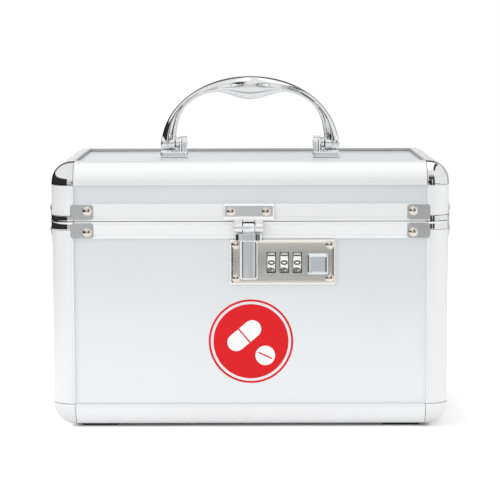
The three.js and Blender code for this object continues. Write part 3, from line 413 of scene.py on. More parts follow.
def edge_section(full=True):
    """The profile's outline; the part of a post beside a rim is cut back to its skin alone."""
    lip_end, slot_floor, lip_reach = SLOT_END + 1, 11.3, 13
    groove = [(12.9, 0), (13, 0.22), (13.25, 0.22), (13.35, 0)]
    skin = arc(EDGE_RADIUS, EDGE_RADIUS, EDGE_RADIUS, 182, 268, 16)
    outer = [(0, EDGE_LEG)] + [(y, x) for x, y in reversed(groove)] + skin + groove + [(EDGE_LEG, 0)]
    if full:
        inner = [(EDGE_LEG, EDGE_WALL), (slot_floor, EDGE_WALL), (slot_floor, SLOT_END), (lip_reach, SLOT_END),
                 (lip_reach, lip_end), (lip_end, lip_end), (lip_end, lip_reach), (SLOT_END, lip_reach),
                 (SLOT_END, slot_floor), (EDGE_WALL, slot_floor), (EDGE_WALL, EDGE_LEG)]
    else:
        hollow = arc(EDGE_RADIUS, EDGE_RADIUS, EDGE_RADIUS - EDGE_WALL, 180, 270, 12)
        inner = [(EDGE_LEG, EDGE_WALL), *reversed(hollow), (EDGE_WALL, EDGE_LEG)]
    return outer + inner


def up_by(z):
    return Matrix.Translation((0, 0, z))


RIM_HEIGHT, BODY_BAND, LID_BAND = 10.6, 5, 3.2
post_low, post_high = FOOT + EDGE_LEG + CORNER_GAP, BODY_TOP - RIM_HEIGHT - CORNER_GAP
skin_high = BODY_TOP - BODY_BAND - CORNER_GAP
lid_post_low, lid_post_high = LID_BOTTOM + LID_BAND + CORNER_GAP, LID_TOP - EDGE_LEG - CORNER_GAP
post = prism(edge_section(), (post_low, post_high), "z")
post.add(prism(edge_section(False), (post_high, skin_high), "z"))
lid_post = prism(edge_section(False), (lid_post_low, lid_post_high), "z")
for corner, place in CORNERS.items():
    put(f"post_{corner}", post, satin_z, "body", f"body_post_{corner}", place=place)
    put(f"lid_post_{corner}_skin", lid_post, satin_z, "lid", f"lid_post_{corner}", place=place)
for side, (place, reach) in SIDES.items():
    metal = satin_x if side in ("front", "rear") else satin_y
    bar = prism(edge_section(), (-reach, reach), "x")
    put(f"bottom_bar_{side}", bar, metal, "body", f"body_edge_{side}", place=place @ up_by(FOOT))
    put(f"top_bar_{side}", bar, metal, "lid", f"lid_edge_{side}",
        place=place @ up_by(LID_TOP) @ Matrix.Rotation(-pi / 2, 4, "X"))


# Corner caps: pressed steel, polished and chromed, pushed over the place where three profiles meet. The edge
# of each is rolled, which leaves a fine raised lip round it.
def polished(name, wiping, colours, smooth, worn, dulled):
    """Mirror chrome, a little duller in the patches where hands have wiped it."""
    metal = Finish(name, "chrome")
    wipes = metal.noise(*wiping)
    return metal.set(Base_Color=metal.paint.mix(wipes, *colours), Roughness=smooth + wipes.step(*worn) * dulled,
                     Metallic=1.0)


chrome = polished("chrome", (60, 4), ((0.82, 0.83, 0.845), (0.86, 0.87, 0.88)), 0.035, (0.45, 0.75), 0.05)


def cap_form():
    """A rounded corner of three faces with a fine grid, the same again further in, and the edge between."""
    cells, wall, lip, lip_start, lip_slope = 14, 1.3, 0.12, EDGE_LEG - 1.3, 0.4
    marks = [EDGE_LEG * step / cells for step in range(cells)]
    marks = sorted(marks + [EDGE_LEG - 0.9, EDGE_LEG - 0.2, EDGE_LEG])
    count = len(marks)
    form = Form()
    for inside in (False, True):
        radius = EDGE_RADIUS - (wall if inside else 0)
        for face in range(3):
            start = len(form.points)
            for u in marks:
                for v in marks:
                    point = Vector([(0, u, v), (u, 0, v), (u, v, 0)][face])
                    centre = Vector([max(axis, EDGE_RADIUS) for axis in point])
                    raised = 0 if inside else lip * max(0, min(1, (max(u, v) - lip_start) / lip_slope))
                    form.points.append(centre + (point - centre).normalized() * (radius + raised))
            for row in range(count - 1):
                for step in range(count - 1):
                    here = start + row * count + step
                    form.faces.append([here, here + 1, here + count + 1, here + count])
    half = len(form.points) // 2
    for face in range(3):
        start = face * count * count
        for step in range(count - 1):
            last_row, last_column = start + (count - 1) * count + step, start + step * count + count - 1
            for here, beside in ((last_row, 1), (last_column, count)):
                form.faces.append([here, here + beside, half + here + beside, half + here])
    return form


cap = cap_form()
turned_over = Matrix(((0, 1, 0, 0), (1, 0, 0, 0), (0, 0, -1, 0), (0, 0, 0, 1)))
for corner, place in CORNERS.items():
    put(f"lower_cap_{corner}", cap, chrome, "body", f"body_cap_{corner}", weld=True, place=place @ up_by(FOOT))
    put(f"upper_cap_{corner}", cap, chrome, "lid", f"lid_cap_{corner}", weld=True,
        place=place @ up_by(LID_TOP) @ turned_over)


# Rims: two aluminium extrusions that meet at the parting line, with fine reeding on their faces. They are bent
# round the case inside the posts, and the body's carries a tongue that keeps dust out.
def reeded(edges, low, high, depth=0.28):
    """A flange's outline, seen from its end, with a groove at each height in edges."""
    outline = [(0.15, low), (0, low + 0.15)]
    for middle, half in edges:
        outline += [(0, middle - half - 0.12), (depth, middle - half), (depth, middle + half),
                    (0, middle + half + 0.12)]
    return outline + [(0, high - 0.15), (0.15, high), (1.95, high), (1.95, low)]


def around(depth, z, steps=8):
    """A path round the case at a depth from its faces."""
    radius = max(EDGE_RADIUS - depth, 1)
    x, y = HALF_X - depth - radius, HALF_Y - depth - radius
    path = []
    for quarter, (sign_x, sign_y) in enumerate(((1, -1), (1, 1), (-1, 1), (-1, -1))):
        path += arc(sign_x * x, sign_y * y, radius, quarter * 90 - 90, quarter * 90, steps)
    return [(point_x, point_y, z) for point_x, point_y in path]


def swept(section):
    """A ring of this section, given as (depth, z), that runs round the case."""
    return Form().loft([around(depth, z) for depth, z in section], loop=True)


def flanges(outline):
    ring = Form()
    for place, reach in SIDES.values():
        ring.add(prism(outline, (-reach, reach), "x"), place)
    return ring


body_rim = flanges(reeded([(124.2, 0.16), (130.9, 0.2)], BODY_TOP - RIM_HEIGHT, BODY_TOP))
body_rim.add(swept([(1.9, 128.9), (1.9, 132.5), (6.8, 132.5), (6.8, 136), (7.8, 136), (7.8, 128.9),
                    (6.4, 128.9), (6.4, 121.9), (5.2, 121.9), (5.2, 128.9)]))
# The body's rim gets the least gleam, so that it reads paler than the lid's: painted light.
put("body_rim_reeded", body_rim, satin("satin_body_rim", "x", 0.26), "body", "body_rim")
lid_rim = flanges(reeded([(134.6, 0.14), (135.6, 0.14)], LID_BOTTOM, LID_BOTTOM + RIM_HEIGHT))
lid_rim.add(swept([(1.9, 132.9), (6.4, 132.9), (6.4, 143.5), (5.2, 143.5), (5.2, 136.5), (1.9, 136.5)]))
put("lid_rim_reeded", lid_rim, satin("satin_lid_rim", "x", 0.38), "lid", "lid_rim")


# Parting strip: a strip of black rubber glued on the body's rim. It fills the parting line, 0.4 mm high, all
# the way round the case, and its black is painted shade for the dark of the gap.
def grained(name, slot, grain, colours, roughness, bump=None, **sockets):
    """A finish whose colour, roughness and bump all follow one noise."""
    finish = Finish(name, slot)
    noise = finish.noise(*grain)
    smooth, by_noise = roughness
    if bump:
        sockets["Normal"] = finish.bump(noise, *bump)
    return finish.set(Base_Color=finish.paint.mix(noise, *colours),
                      Roughness=smooth + noise * by_noise if by_noise else smooth, **sockets)


# Black rubber that is painted shade here, in the bracket grooves and behind the hasp's knuckle.
black_shade_rubber = grained("shade_rubber", "foot_rubber", (700, 3), ((0.02, 0.021, 0.023), (0.04, 0.041, 0.044)),
                        (0.6, 0.2))
shade_rubber = swept([(0.45, 132.48), (0.45, 132.86), (1.8, 132.86), (1.8, 132.48)])
put("rim_parting_shade_strip", shade_rubber, black_shade_rubber, "body")


# Lining: black foam sheet, 1 mm thick, glued to the lips of the profiles and rims inside body and lid. The
# body's is cut out round the lock case.
foam = grained("lining", "lining", (1500, 3), ((0.035, 0.037, 0.04), (0.075, 0.078, 0.084)), (0.75, 0.15),
               (0.35, 0.0002))
CASE_CHAMFER, FOAM_GAP, FLOOR_INSET = 4.5, 0.3, 7.5


def form_of(thing):
    """The form that an object shows, as it is taken out of the scene."""
    bpy.context.view_layer.update()
    shown = bpy.data.meshes.new_from_object(thing.evaluated_get(bpy.context.evaluated_depsgraph_get()))
    form = Form()
    form.points = [point.co.copy() for point in shown.vertices]
    form.faces = [list(face.vertices) for face in shown.polygons]
    bpy.data.meshes.remove(shown)
    bpy.data.objects.remove(thing)
    return form


def cut_out(form, opening):
    """The form with the space of another closed form cut out of it."""
    solids = []
    for solid in (form, opening):
        mesh = bpy.data.meshes.new("cutting")
        shape = shape_of(solid, True)
        shape.to_mesh(mesh)
        shape.free()
        solids.append(added("cutting", mesh))
    cutting = solids[0].modifiers.new("cutting", "BOOLEAN")
    cutting.solver = "EXACT"
    cutting.object = solids[1]
    left = form_of(solids[0])
    bpy.data.objects.remove(solids[1])
    return left


def rounded(x_range, y_range, radius, steps=5):
    """A rectangle with round corners, from its lower right corner anticlockwise."""
    (left, right), (low, high) = x_range, y_range
    outline = []
    for quarter, (x, y) in enumerate(((right - radius, low + radius), (right - radius, high - radius),
                                      (left + radius, high - radius), (left + radius, low + radius))):
        outline += arc(x, y, radius, quarter * 90 - 90, quarter * 90, steps)
    return outline


case_low, case_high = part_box("lock_case")
case_x, case_z = [(case_low[axis] / MM - FOAM_GAP, case_high[axis] / MM + FOAM_GAP) for axis in (0, 2)]
round_case = prism(rounded(case_x, case_z, CASE_CHAMFER, 1), (4 - HALF_Y, 10 - HALF_Y), "y")
floor_x, floor_y = HALF_X - FLOOR_INSET, HALF_Y - FLOOR_INSET
lining_sheet = rounded((-floor_x, floor_x), (-floor_y, floor_y), 5)
lining_walls = cut_out(swept([(6.45, 9.9), (6.45, 128.7), (7.4, 128.7), (7.4, 9.9)]), round_case)
put("body_lining", lining_walls.add(prism(lining_sheet, (8.8, 9.8), "z")), foam, "body", bevel=0.2)
lid_lining = swept([(6.5, 137), (6.5, 162.4), (7.4, 162.4), (7.4, 137)])
put("lid_lining", lid_lining.add(prism(lining_sheet, (162.5, 163.5), "z")), foam, "lid", bevel=0.2)


# Shade bead: a thin grey bead drawn along the joint where the top panel goes into its bars. Its grey is painted
# shade for the shaded inner walls of the bars. It stands against the bars' edges and ends just below their
# faces.
shade_bead_grey = grained("shade_bead", "lining", (900, 3), ((0.35, 0.36, 0.37), (0.43, 0.44, 0.45)), (0.5, 0.2))


def stacked(axis, u_range, v_range, radius, sections, steps=5, loop=False):
    """Round-cornered rectangles, one after another along an axis. A section gives its margin, its place on the
    axis and, where it has its own, its radius."""
    (left, right), (low, high) = u_range, v_range
    return Form().loft([[across(axis, u, v, t) for u, v in rounded(
        (left + margin, right - margin), (low + margin, high - margin), own[0] if own else radius, steps)]
        for margin, t, *own in sections], loop)


joint_x, joint_y = HALF_X - EDGE_LEG, HALF_Y - EDGE_LEG
bead = stacked("z", (-joint_x, joint_x), (-joint_y, joint_y), 0.6, [
    (0.02, 168.5), (0.02, 169.84), (0.2, 169.88), (0.35, 169.7), (0.36, 168.5)], 3, loop=True)
put("top_shade_bead", bead, shade_bead_grey, "lid")


# Corner brackets: pressed zinc-plated steel. Each has a polished band round the end of the post and an ear on
# either side, riveted to the rim. The rivets are nickelled steel with round heads.
zinc = brushed("zinc_plate", "zinc_plate", (3400, 2, (0.06, 1, 1)), (90, 4),
               ((0.66, 0.67, 0.685), (0.73, 0.74, 0.755)), (0.27, 0.1, 0.06), (0.08, 0.00004))
rivet_metal = grained("rivet_nickel", "nickel_plate", (300, 3), ((0.74, 0.68, 0.6), (0.84, 0.79, 0.71)),
                      (0.12, 0.08), Metallic=1.0)


def turned(profile, u, v, axis, steps=28, loop=False):
    """A form turned about an axis through (u, v): the profile gives (radius, place along the axis)."""
    return Form().loft([[across(axis, u + radius * cos(2 * pi * step / steps),
                                v + radius * sin(2 * pi * step / steps), t) for step in range(steps)]
                        for radius, t in profile], loop)


def rivet_head(x, face, z, radius=2.6, rise=1.2):
    """A round head that stands on a face towards the front, with a narrow flat skirt."""
    skirt, dome_share = 0.22, 0.93
    dome = [(radius * dome_share * cos(turn), face - skirt - (rise - skirt) * sin(turn))
            for turn in [radians(15 * step) for step in range(6)]]
    return turned([(radius * 0.6, face + 0.3), (radius, face + 0.02), (radius, face - 0.14), *dome,
                   (0.02, face - rise)], x, z, "y")


EAR_LOW, EAR_HIGH, EAR_START, EAR_REACH, EAR_FACE = 0.7, 10.5, 12.7, 27, -0.5
RIVET_INSET, RIVET_DEEP = 3.7, 4


def band(start, height):
    """A band round the corner, waisted, with a lip where it starts at the parting line."""
    section = [(0.6, 0), (0.6, 0.08), (0.42, 0.2), (0.34, 0.5), (0.4, 0.88), (0.38, 0.97), (0.3, 1), (-0.8, 1),
               (-0.8, 0)]
    rings = []
    for proud, share in section:
        path = [(EDGE_LEG, -proud), *arc(EDGE_RADIUS, EDGE_RADIUS, EDGE_RADIUS + proud, 270, 180, 20),
                (-proud, EDGE_LEG)]
        rings.append([(x, y, start + height * share) for x, y in path])
    return Form().loft([list(across_band) for across_band in zip(*rings)])


other_side = Matrix(((0, 1, 0, 0), (1, 0, 0, 0), (0, 0, 1, 0), (0, 0, 0, 1)))
rivets = {"body": Form(), "lid": Form()}
for corner, place in CORNERS.items():
    for part, base, sign, height in (("body", BODY_TOP, -1, BODY_BAND), ("lid", LID_BOTTOM, 1, LID_BAND)):
        ear_z = sorted((base + sign * EAR_LOW, base + sign * EAR_HIGH))
        plate = stacked("y", (EAR_START, EAR_REACH), ear_z, 2, [
            (0, -0.02), (0, EAR_FACE + 0.25), (0.08, EAR_FACE + 0.08), (0.3, EAR_FACE)])
        head = rivet_head(EAR_REACH - RIVET_INSET, EAR_FACE, base + sign * (EAR_HIGH - RIVET_DEEP), 3, 1.5)
        ears = Form().add(plate).add(plate, other_side)
        bracket = f"{part}_bracket_{corner}"
        put(f"{part}_band_{corner}", band(base, sign * height), chrome, part, bracket, place=place)
        put(f"{part}_ears_{corner}", ears, zinc, part, bracket, place=place)
        rivets[part].add(head, place).add(head, place @ other_side)


# Rear hinge: two leaves of bright steel rolled round one pin, with tabs on the lid's knuckles that stop it a
# little past upright. Six rivets hold it to the rims.
steel = brushed("hinge_steel", "hinge_steel", (2600, 2, (0.04, 1, 1)), (50, 3),
                ((0.56, 0.57, 0.59), (0.64, 0.65, 0.67)), (0.26, 0.12, 0), (0.1, 0.00004))
HINGE_HALF, KNUCKLES, KNUCKLE_GAP, LEAF, LEAF_END, LEAF_GAP = 60, 5, 0.3, 1.2, 9.4, 0.2
HINGE_RADIUS, HINGE_BORE = 2.4, 1.3
HINGE_Y, HINGE_Z = -LEAF_GAP - HINGE_RADIUS, BODY_TOP + 0.2
STOP_OUT = (rim_high[1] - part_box("hinge_lid_leaf")[1][1]) / MM
knuckle = 2 * HINGE_HALF / KNUCKLES
rear = SIDES["rear"][0]


def box(x_range, y_range, z_range):
    (left, right), (front_y, rear_y) = x_range, y_range
    return prism([(left, front_y), (right, front_y), (right, rear_y), (left, rear_y)], sorted(z_range), "z")


for part, sign, first in (("body", -1, 0), ("lid", 1, 1)):
    leaf_y = (-LEAF_GAP - LEAF, -LEAF_GAP)
    leaf = box((-HINGE_HALF, HINGE_HALF), leaf_y, (HINGE_Z + sign * 3, HINGE_Z + sign * LEAF_END))
    for number in range(first, KNUCKLES, 2):
        start = -HINGE_HALF + number * knuckle + KNUCKLE_GAP / 2
        end = start + knuckle - KNUCKLE_GAP
        roll = [(HINGE_RADIUS, start), (HINGE_RADIUS, end), (HINGE_BORE, end), (HINGE_BORE, start)]
        leaf.add(turned(roll, HINGE_Y, HINGE_Z, "x", 36, loop=True))
        leaf.add(box((start, end), leaf_y, (HINGE_Z + sign * 1.5, HINGE_Z + sign * 3.2)))
        if part == "lid":
            leaf.add(box((start, end), (STOP_OUT, HINGE_Y - 1.6), (HINGE_Z - 0.3, HINGE_Z + 0.9)))
    put(f"{part}_hinge_leaf", leaf, steel, part, f"hinge_{part}_leaf", bevel=0.15, place=rear)
    for step in (-1, 0, 1):
        head = rivet_head(step * 2 * knuckle, leaf_y[0], HINGE_Z + sign * (LEAF_END - 2.9))
        rivets[part].add(head, rear)
pin_end = [(0.02, 61.3), (1.5, 61.2), (1.9, 60.8), (1.9, 60.35), (1, 60.3)]
pin = turned([(radius, -x) for radius, x in pin_end] + pin_end[::-1], HINGE_Y, HINGE_Z, "x")
put("hinge_pin_headed", pin, steel, "body", "hinge_pin", place=rear)


# Feet: square pads of dark rubber with round edges, one under each corner of the bottom panel. A layer of glue,
# 0.3 mm thick and not modelled, holds each to the panel.
rubber = grained("foot_rubber", "foot_rubber", (900, 4), ((0.012, 0.018, 0.017), (0.03, 0.04, 0.037)),
                 (0.6, 0.2), (0.3, 0.0001))
FOOT_SPAN, FOOT_CORNER = (17, 41), 2.5
foot = stacked("z", FOOT_SPAN, FOOT_SPAN, FOOT_CORNER, [(0.9, 0), (0.3, 0.15), (0, 0.6), (0, 4.1)])
for corner, place in CORNERS.items():
    put(f"rubber_foot_{corner}", foot, rubber, "body", f"foot_{corner}", place=place, sharp=50)


# Handle brackets: die-cast and plated. Each is a foot riveted through the lid with an ear, and a boss on the
# ear carries the stub that the handle turns on.
PANEL_TOP = LID_TOP - 1.9
PIVOT_Z = PANEL_TOP + 9.5
EAR_INNER, EAR_OUTER, BASE_END, BASE_HALF = 41.5, 46.2, 59, 8
BASE_LOW, BASE_TOP, BRACKET_RIVET_X, BRACKET_RIVET_Y = PANEL_TOP + 0.3, PANEL_TOP + 3.9, 52.5, 5
bracket_metal = grained("bracket_zinc", "zinc_plate", (700, 4), ((0.84, 0.85, 0.86), (0.9, 0.91, 0.92)),
                        (0.13, 0.1), (0.06, 0.0001), Metallic=0.75)
bracket = stacked("z", (EAR_INNER, BASE_END), (-BASE_HALF, BASE_HALF), 2, [
    (0, BASE_LOW), (0, BASE_TOP - 0.8), (0.25, BASE_TOP - 0.2), (0.8, BASE_TOP)])
side_half = BASE_HALF - 0.4
side_view = [(-side_half, BASE_LOW + 1), (side_half, BASE_LOW + 1), (side_half, BASE_TOP - 0.6),
             *arc(0, PIVOT_Z, 4.4, 0, 180, 14), (-side_half, BASE_TOP - 0.6)]
waists = ((EAR_INNER, 0.93), (EAR_INNER + 0.3, 1), (44.4, 1), (44.5, 0.97), (44.55, 0.86), (45, 0.86),
          (45.05, 0.97), (45.15, 1), (EAR_OUTER - 0.3, 1), (EAR_OUTER, 0.93))
bracket.loft([[(x, y * scale, PIVOT_Z + (z - PIVOT_Z) * scale if z > BASE_TOP else z)
               for y, z in side_view] for x, scale in waists])
boss = [(3.9, EAR_OUTER - 0.5), (3.6, EAR_OUTER + 0.6), (3.4, EAR_OUTER + 1.2), (3.4, 48.7), (3.1, 49),
        (2, 49), (2, 55), (0.02, 55)]
cover = [(0.02, EAR_INNER - 0.35), (1.8, EAR_INNER - 0.3), (2.3, EAR_INNER + 0.2)]
bracket.add(turned(boss, 0, PIVOT_Z, "x", 32)).add(turned(cover, 0, PIVOT_Z, "x"))
for y in (0.1 - BASE_HALF, BASE_HALF - 0.4):
    bracket.add(box((41.9, 43.9), (y, y + 0.3), (BASE_TOP + 0.6, BASE_TOP + 6.4)))
rib = [(EAR_OUTER + x, BASE_TOP + z) for x, z in (
    (-0.5, -0.4), (4.2, -0.4), (3.2, 0.5), (0.9, 2.2), (0.4, 4.4), (-0.5, 4.4))]
for y in (-3.2, 3.2):
    bracket.add(prism(rib, (y - 0.7, y + 0.7), "y"))
head = [(radius, BASE_TOP + z) for radius, z in (
    (2.1, -0.2), (2.1, 0.25), (1.7, 0.6), (0.9, 0.85), (0.02, 0.9))]
tail = [(1.2, BASE_LOW + 0.2), (1.2, 164.9), (2.4, 164.8), (2.4, 163.9), (0.02, 163.8)]
for shank, facets in ((head, 24), (tail, 20)):
    for y in (-BRACKET_RIVET_Y, BRACKET_RIVET_Y):
        bracket.add(turned(shank, BRACKET_RIVET_X, y, "z", facets))
# Painted shade: black strips in the groove across each ear, at each ear's outer edge, and in a ring in the gap
# between the boss and the handle's hub.
shade_strips = turned([(2, 48.95), (3.2, 48.95), (3.2, 49.25), (2, 49.25)], 0, PIVOT_Z, "x", loop=True)
for y in (-7.62, 7.42):
    shade_strips.add(box((44.55, 45), (y, y + 0.2), (PANEL_TOP + 4.6, PANEL_TOP + 11.2)))
    shade_strips.add(box((46.15, 46.5), (y, y + 0.2), (PANEL_TOP + 4.6, PANEL_TOP + 9)))
for side, turn in (("right", 0), ("left", pi)):
    place = Matrix.Rotation(turn, 4, "Z")
    put(f"bracket_{side}", bracket, bracket_metal, "lid", f"handle_bracket_{side}", bevel=0.12, place=place)
    put(f"bracket_shade_strips_{side}", shade_strips, black_shade_rubber, "lid", f"handle_bracket_{side}", place=place)


# Handle: one polished chromed casting. Its legs carry a groove along each face, which opens into a long hollow
# where the section swells for the grip.
handle_chrome = polished("handle_chrome", (45, 2), ((0.83, 0.84, 0.85), (0.87, 0.875, 0.88)),
                         0.04, (0.5, 0.8), 0.03)
STATIONS, FACETS, ROOT_Z, GRIP_REACH, GRIP_HANG = 120, 44, PANEL_TOP + 4, 26.5, 6.3
OUTER_ARCH, INNER_ARCH = (58.95, 49.15, 2.1), (48.8, 40.2, 3.15)


def signed(value, power):
    """The power of a number's size, with the number's own sign."""
    return (1 if value >= 0 else -1) * abs(value) ** power


def on_arch(turn, half_span, rise, power):
    """A point on an arch; the higher the power, the squarer the arch."""
    return Vector((half_span * signed(cos(turn), 2 / power), 0,
                   ROOT_Z + rise * abs(sin(turn)) ** (2 / power)))


rings = []
for station in range(STATIONS + 1):
    turn = pi * station / STATIONS
    outer, inner = on_arch(turn, *OUTER_ARCH), on_arch(turn, *INNER_ARCH)
    swell = cos(min(abs(inner.x) / GRIP_REACH, 1) * pi / 2) ** 2
    inner.z -= GRIP_HANG * swell
    if max(outer.z, inner.z) < PIVOT_Z - 0.01 and abs(outer.x) > 50:
        outer.z = inner.z = PIVOT_Z
    middle = (outer + inner) / 2
    rise = outer - middle
    half_width = 5 + 2.5 * sin(turn) ** 2
    groove_at, groove_half = 0.45 * swell - 0.3, 0.16 + 0.36 * swell
    groove_deep = (0.17 + 0.01 * swell) * min(1, sin(turn) * 6)
    ring = []
    for step in range(FACETS):
        angle = 2 * pi * step / FACETS
        up_share = signed(sin(angle), 0.82)
        squareness = 0.72 if up_share < 0 else 0.72 + 0.68 * min(1, up_share * 4)
        hollow = groove_deep * exp(-abs((up_share - groove_at) / groove_half) ** 2.4)
        out = half_width * signed(cos(angle), squareness) * (1 - hollow)
        ring.append(middle + rise * up_share + Vector((0, out, 0)))
    rings.append(ring)
handle = Form().loft(rings)
hub = [(2.4, 49.35), (4.4, 49.35), (5, 49.95), (5, 57.2), (4.5, 58.04), (3.4, 58.4), (0.02, 58.52)]
for sign in (-1, 1):
    handle.add(turned([(radius, sign * x) for radius, x in hub], 0, PIVOT_Z, "x", 40))
put("handle_casting", handle, handle_chrome, "handle", "handle", sharp=50)


# Hasp plate: a tray of zinc-plated steel riveted to the lid's rim. Its lower edge is rolled into two knuckles
# round the pin that the hasp swings on, and a black pad, painted shade for the dark behind the hasp's own
# knuckle, lies between them.
HASP_X, HASP_AXIS_Y, HASP_AXIS_Z = -1, -3.3, 129.1
front = SIDES["front"][0]


def tray(x_range, z_range, back, face, radius, border, sink, low_share=1):
    """The raised border and the sunk field of a pressed plate with round corners, seen from the front."""
    def outline(margin, y):
        return [(x, y, z) for x, z in rounded((x_range[0] + margin, x_range[1] - margin),
                                              (z_range[0] + margin * low_share, z_range[1] - margin),
                                              max(radius - margin * 0.6, 0.3))]
    bead = [outline(border / 2 * (1 - cos(turn)), face + sink * (1 - sin(turn)))
            for turn in [radians(20 * step) for step in range(10)]]
    edge = Form().loft([outline(0, back), *bead, outline(border, back)], loop=True)
    return edge, Form().loft([outline(border - 0.05, back), outline(border - 0.05, face + sink)])


def rolled(start, end, bore):
    """A knuckle round the hasp's pin, from start to end as measured from the hasp's middle."""
    section = [(bore, start), (2.6, start), (2.8, start + 0.2), (2.8, end - 0.2), (2.6, end), (bore, end)]
    return turned([(radius, HASP_X + x) for radius, x in section], HASP_AXIS_Y, HASP_AXIS_Z, "x", 32, loop=True)


def hasp_box(half_width, y_range, z_range):
    return box((HASP_X - half_width, HASP_X + half_width), y_range, z_range)


# Near white and half diffuse: a painted highlight on the raised borders of hasp plate and hasp arm.
edge_painted_highlight = grained("polished_edge_painted_highlight", "chrome", (150, 3), ((0.95, 0.955, 0.96), (0.98, 0.985, 0.99)), (0.17, 0.08),
                 Metallic=0.4)
bright_zinc = brushed("bright_zinc", "zinc_plate", (3000, 2, (0.05, 1, 1)), (80, 3),
                      ((0.9, 0.92, 0.93), (0.94, 0.955, 0.965)), (0.2, 0.05, 0), (0.03, 0.00004))
PLATE_LOW, PLATE_HIGH, PLATE_HALF = LID_BOTTOM + 0.9, LID_BOTTOM + 10.8, 16
plate_rim, plate_field = tray((HASP_X - PLATE_HALF, HASP_X + PLATE_HALF), (PLATE_LOW, PLATE_HIGH),
                              -0.2, -1.8, 1, 1.2, 0.6, 1.7)
strap = [(-0.55, HASP_AXIS_Z), (-1.8, HASP_AXIS_Z + 1.5), (-1.8, PLATE_LOW + 0.4),
         (-0.55, PLATE_LOW + 0.4)]
knuckles = Form()
for start, end in ((-9.1, -4.1), (4.1, 9.1)):
    knuckles.add(rolled(start, end, 1.1))
    plate_rim.add(prism(strap, (HASP_X + start, HASP_X + end), "x"))
plate_rim.add(hasp_box(3.7, (-1.8, -0.55), (PLATE_LOW - 1.2, PLATE_LOW + 0.4)))
pin = [(0.02, HASP_X - 8.9), (1.1, HASP_X - 8.9), (1.1, HASP_X + 8.9), (0.02, HASP_X + 8.9)]
knuckles.add(turned(pin, HASP_AXIS_Y, HASP_AXIS_Z, "x", 20))
# Painted shade: a black pad where only the dark behind the hasp's knuckle would show.
shade_pad = hasp_box(3.8, (-0.75, -0.2), (HASP_AXIS_Z + 1, PLATE_LOW + 1))
put("hasp_shade_pad", shade_pad, black_shade_rubber, "lid", "hasp_plate", place=front)
put("hasp_plate_knuckles", knuckles, chrome, "lid", "hasp_plate", place=front)
put("hasp_plate_field", plate_field, bright_zinc, "lid", "hasp_plate", bevel=0.08, place=front)
put("hasp_plate_edge", plate_rim, edge_painted_highlight, "lid", "hasp_plate", place=front)
for x in (HASP_X - 11, HASP_X + 11):
    rivets["lid"].add(rivet_head(x, -1.2, (PLATE_LOW + PLATE_HIGH) / 2 + 0.2, radius=2.8), front)


# Hasp: a chromed pressing that swings on the hasp plate's pin. Its arm has a raised border, near white with a
# painted highlight, and the staple behind it goes through the lock plate.
LOCK_LEFT, LOCK_RIGHT, LOCK_LOW, LOCK_HIGH = -12.2, 53.2, 93.5, 121.4
LOCK_Z = (LOCK_LOW + LOCK_HIGH) / 2
ARM_BACK, ARM_FRONT = -1.3, -2.5
arm_chrome = Finish("hasp_chrome", "chrome")
drawn = arm_chrome.noise(420, 2, (1, 1, 0.04))
arm_chrome.set(
    Base_Color=arm_chrome.paint.mix(drawn.step(0.35, 0.65), (0.74, 0.785, 0.815), (0.94, 0.96, 0.97)),
    Roughness=0.06 + drawn * 0.08, Metallic=1.0)


def mirrored(half):
    """An outline through (y, z) that is the same below and above the lock's middle."""
    return [(y, LOCK_Z - z) for y, z in half] + [(y, LOCK_Z + z) for y, z in half[-2::-1]]


arm = rolled(-3.6, 3.6, 1.4).add(hasp_box(3.7, (ARM_FRONT, ARM_BACK), (124.5, HASP_AXIS_Z - 2.2)))
yoke, trough = [], []
for step in range(33):
    share = step / 16 - 1
    face = ARM_FRONT - 0.7 + 0.9 * share ** 4
    yoke.append([(HASP_X + 8.05 * share, y, z) for y, z in (
        (ARM_BACK, 120.6), (face + 0.3, 120.6), (face, 120.9), (face, 124.9), (face + 0.3, 125.2),
        (ARM_BACK, 125.2))])
for step in range(25):
    share = step / 12 - 1
    face = ARM_FRONT + 0.2 - 0.35 * share ** 8
    trough.append([(HASP_X + 4.8 * share, y, z) for y, z in (
        (ARM_BACK, LOCK_LOW + 3.6), (face, LOCK_LOW + 3.6), (face, 120.4), (ARM_BACK, 120.4))])
staple = mirrored([(ARM_BACK - 0.6, 3), (2.4, 3), (4.6, 2.9), (5.4, 2.2), (5.5, 0)])
eye = mirrored([(1.3, 1.4), (2.7, 1.4), (3.6, 1.3), (4, 1), (4.1, 0)])
arm.loft(yoke).loft(trough).loft([[(HASP_X + x, y, z) for y, z in outline] for x, outline in (
    (-0.8, staple), (0.8, staple), (0.8, eye), (-0.8, eye))], loop=True)
put("hasp_arm", arm, arm_chrome, "hasp", "hasp", bevel=0.08, place=front)
arm_rim = tray((HASP_X - 5.6, HASP_X + 5.6), (LOCK_LOW + 2.8, 121.2), ARM_BACK, -3.3, 1.8, 0.9, 1.1)[0]
put("hasp_arm_edge", arm_rim, edge_painted_highlight, "hasp", "hasp", place=front)


# Lock plate: a nickelled pressing with a raised bevelled border, windows for the dials and slots for staple and
# button. Four rivets hold it, and the lock case behind the panel.
nickel = Finish("nickel_plate", "nickel_plate")
satin_lines = nickel.noise(3800, 2, (0.05, 1, 1))
tarnish = nickel.noise(35, 4)
height_up = nickel.paint.node("SeparateXYZ", {0: nickel.place}, output=2)
lean = ((height_up - LOCK_LOW * MM) / ((LOCK_HIGH - LOCK_LOW) * MM)).at_least(0)
nickel.set(
    Base_Color=nickel.paint.mix(tarnish, (0.69, 0.68, 0.645), (0.74, 0.73, 0.695)),
    Roughness=0.22 + satin_lines * 0.04 + tarnish * 0.04,
    Metallic=1.0,
    Normal=nickel.bump(satin_lines * 0.0000015 - lean * lean * lean * 0.0017, 1, 1))
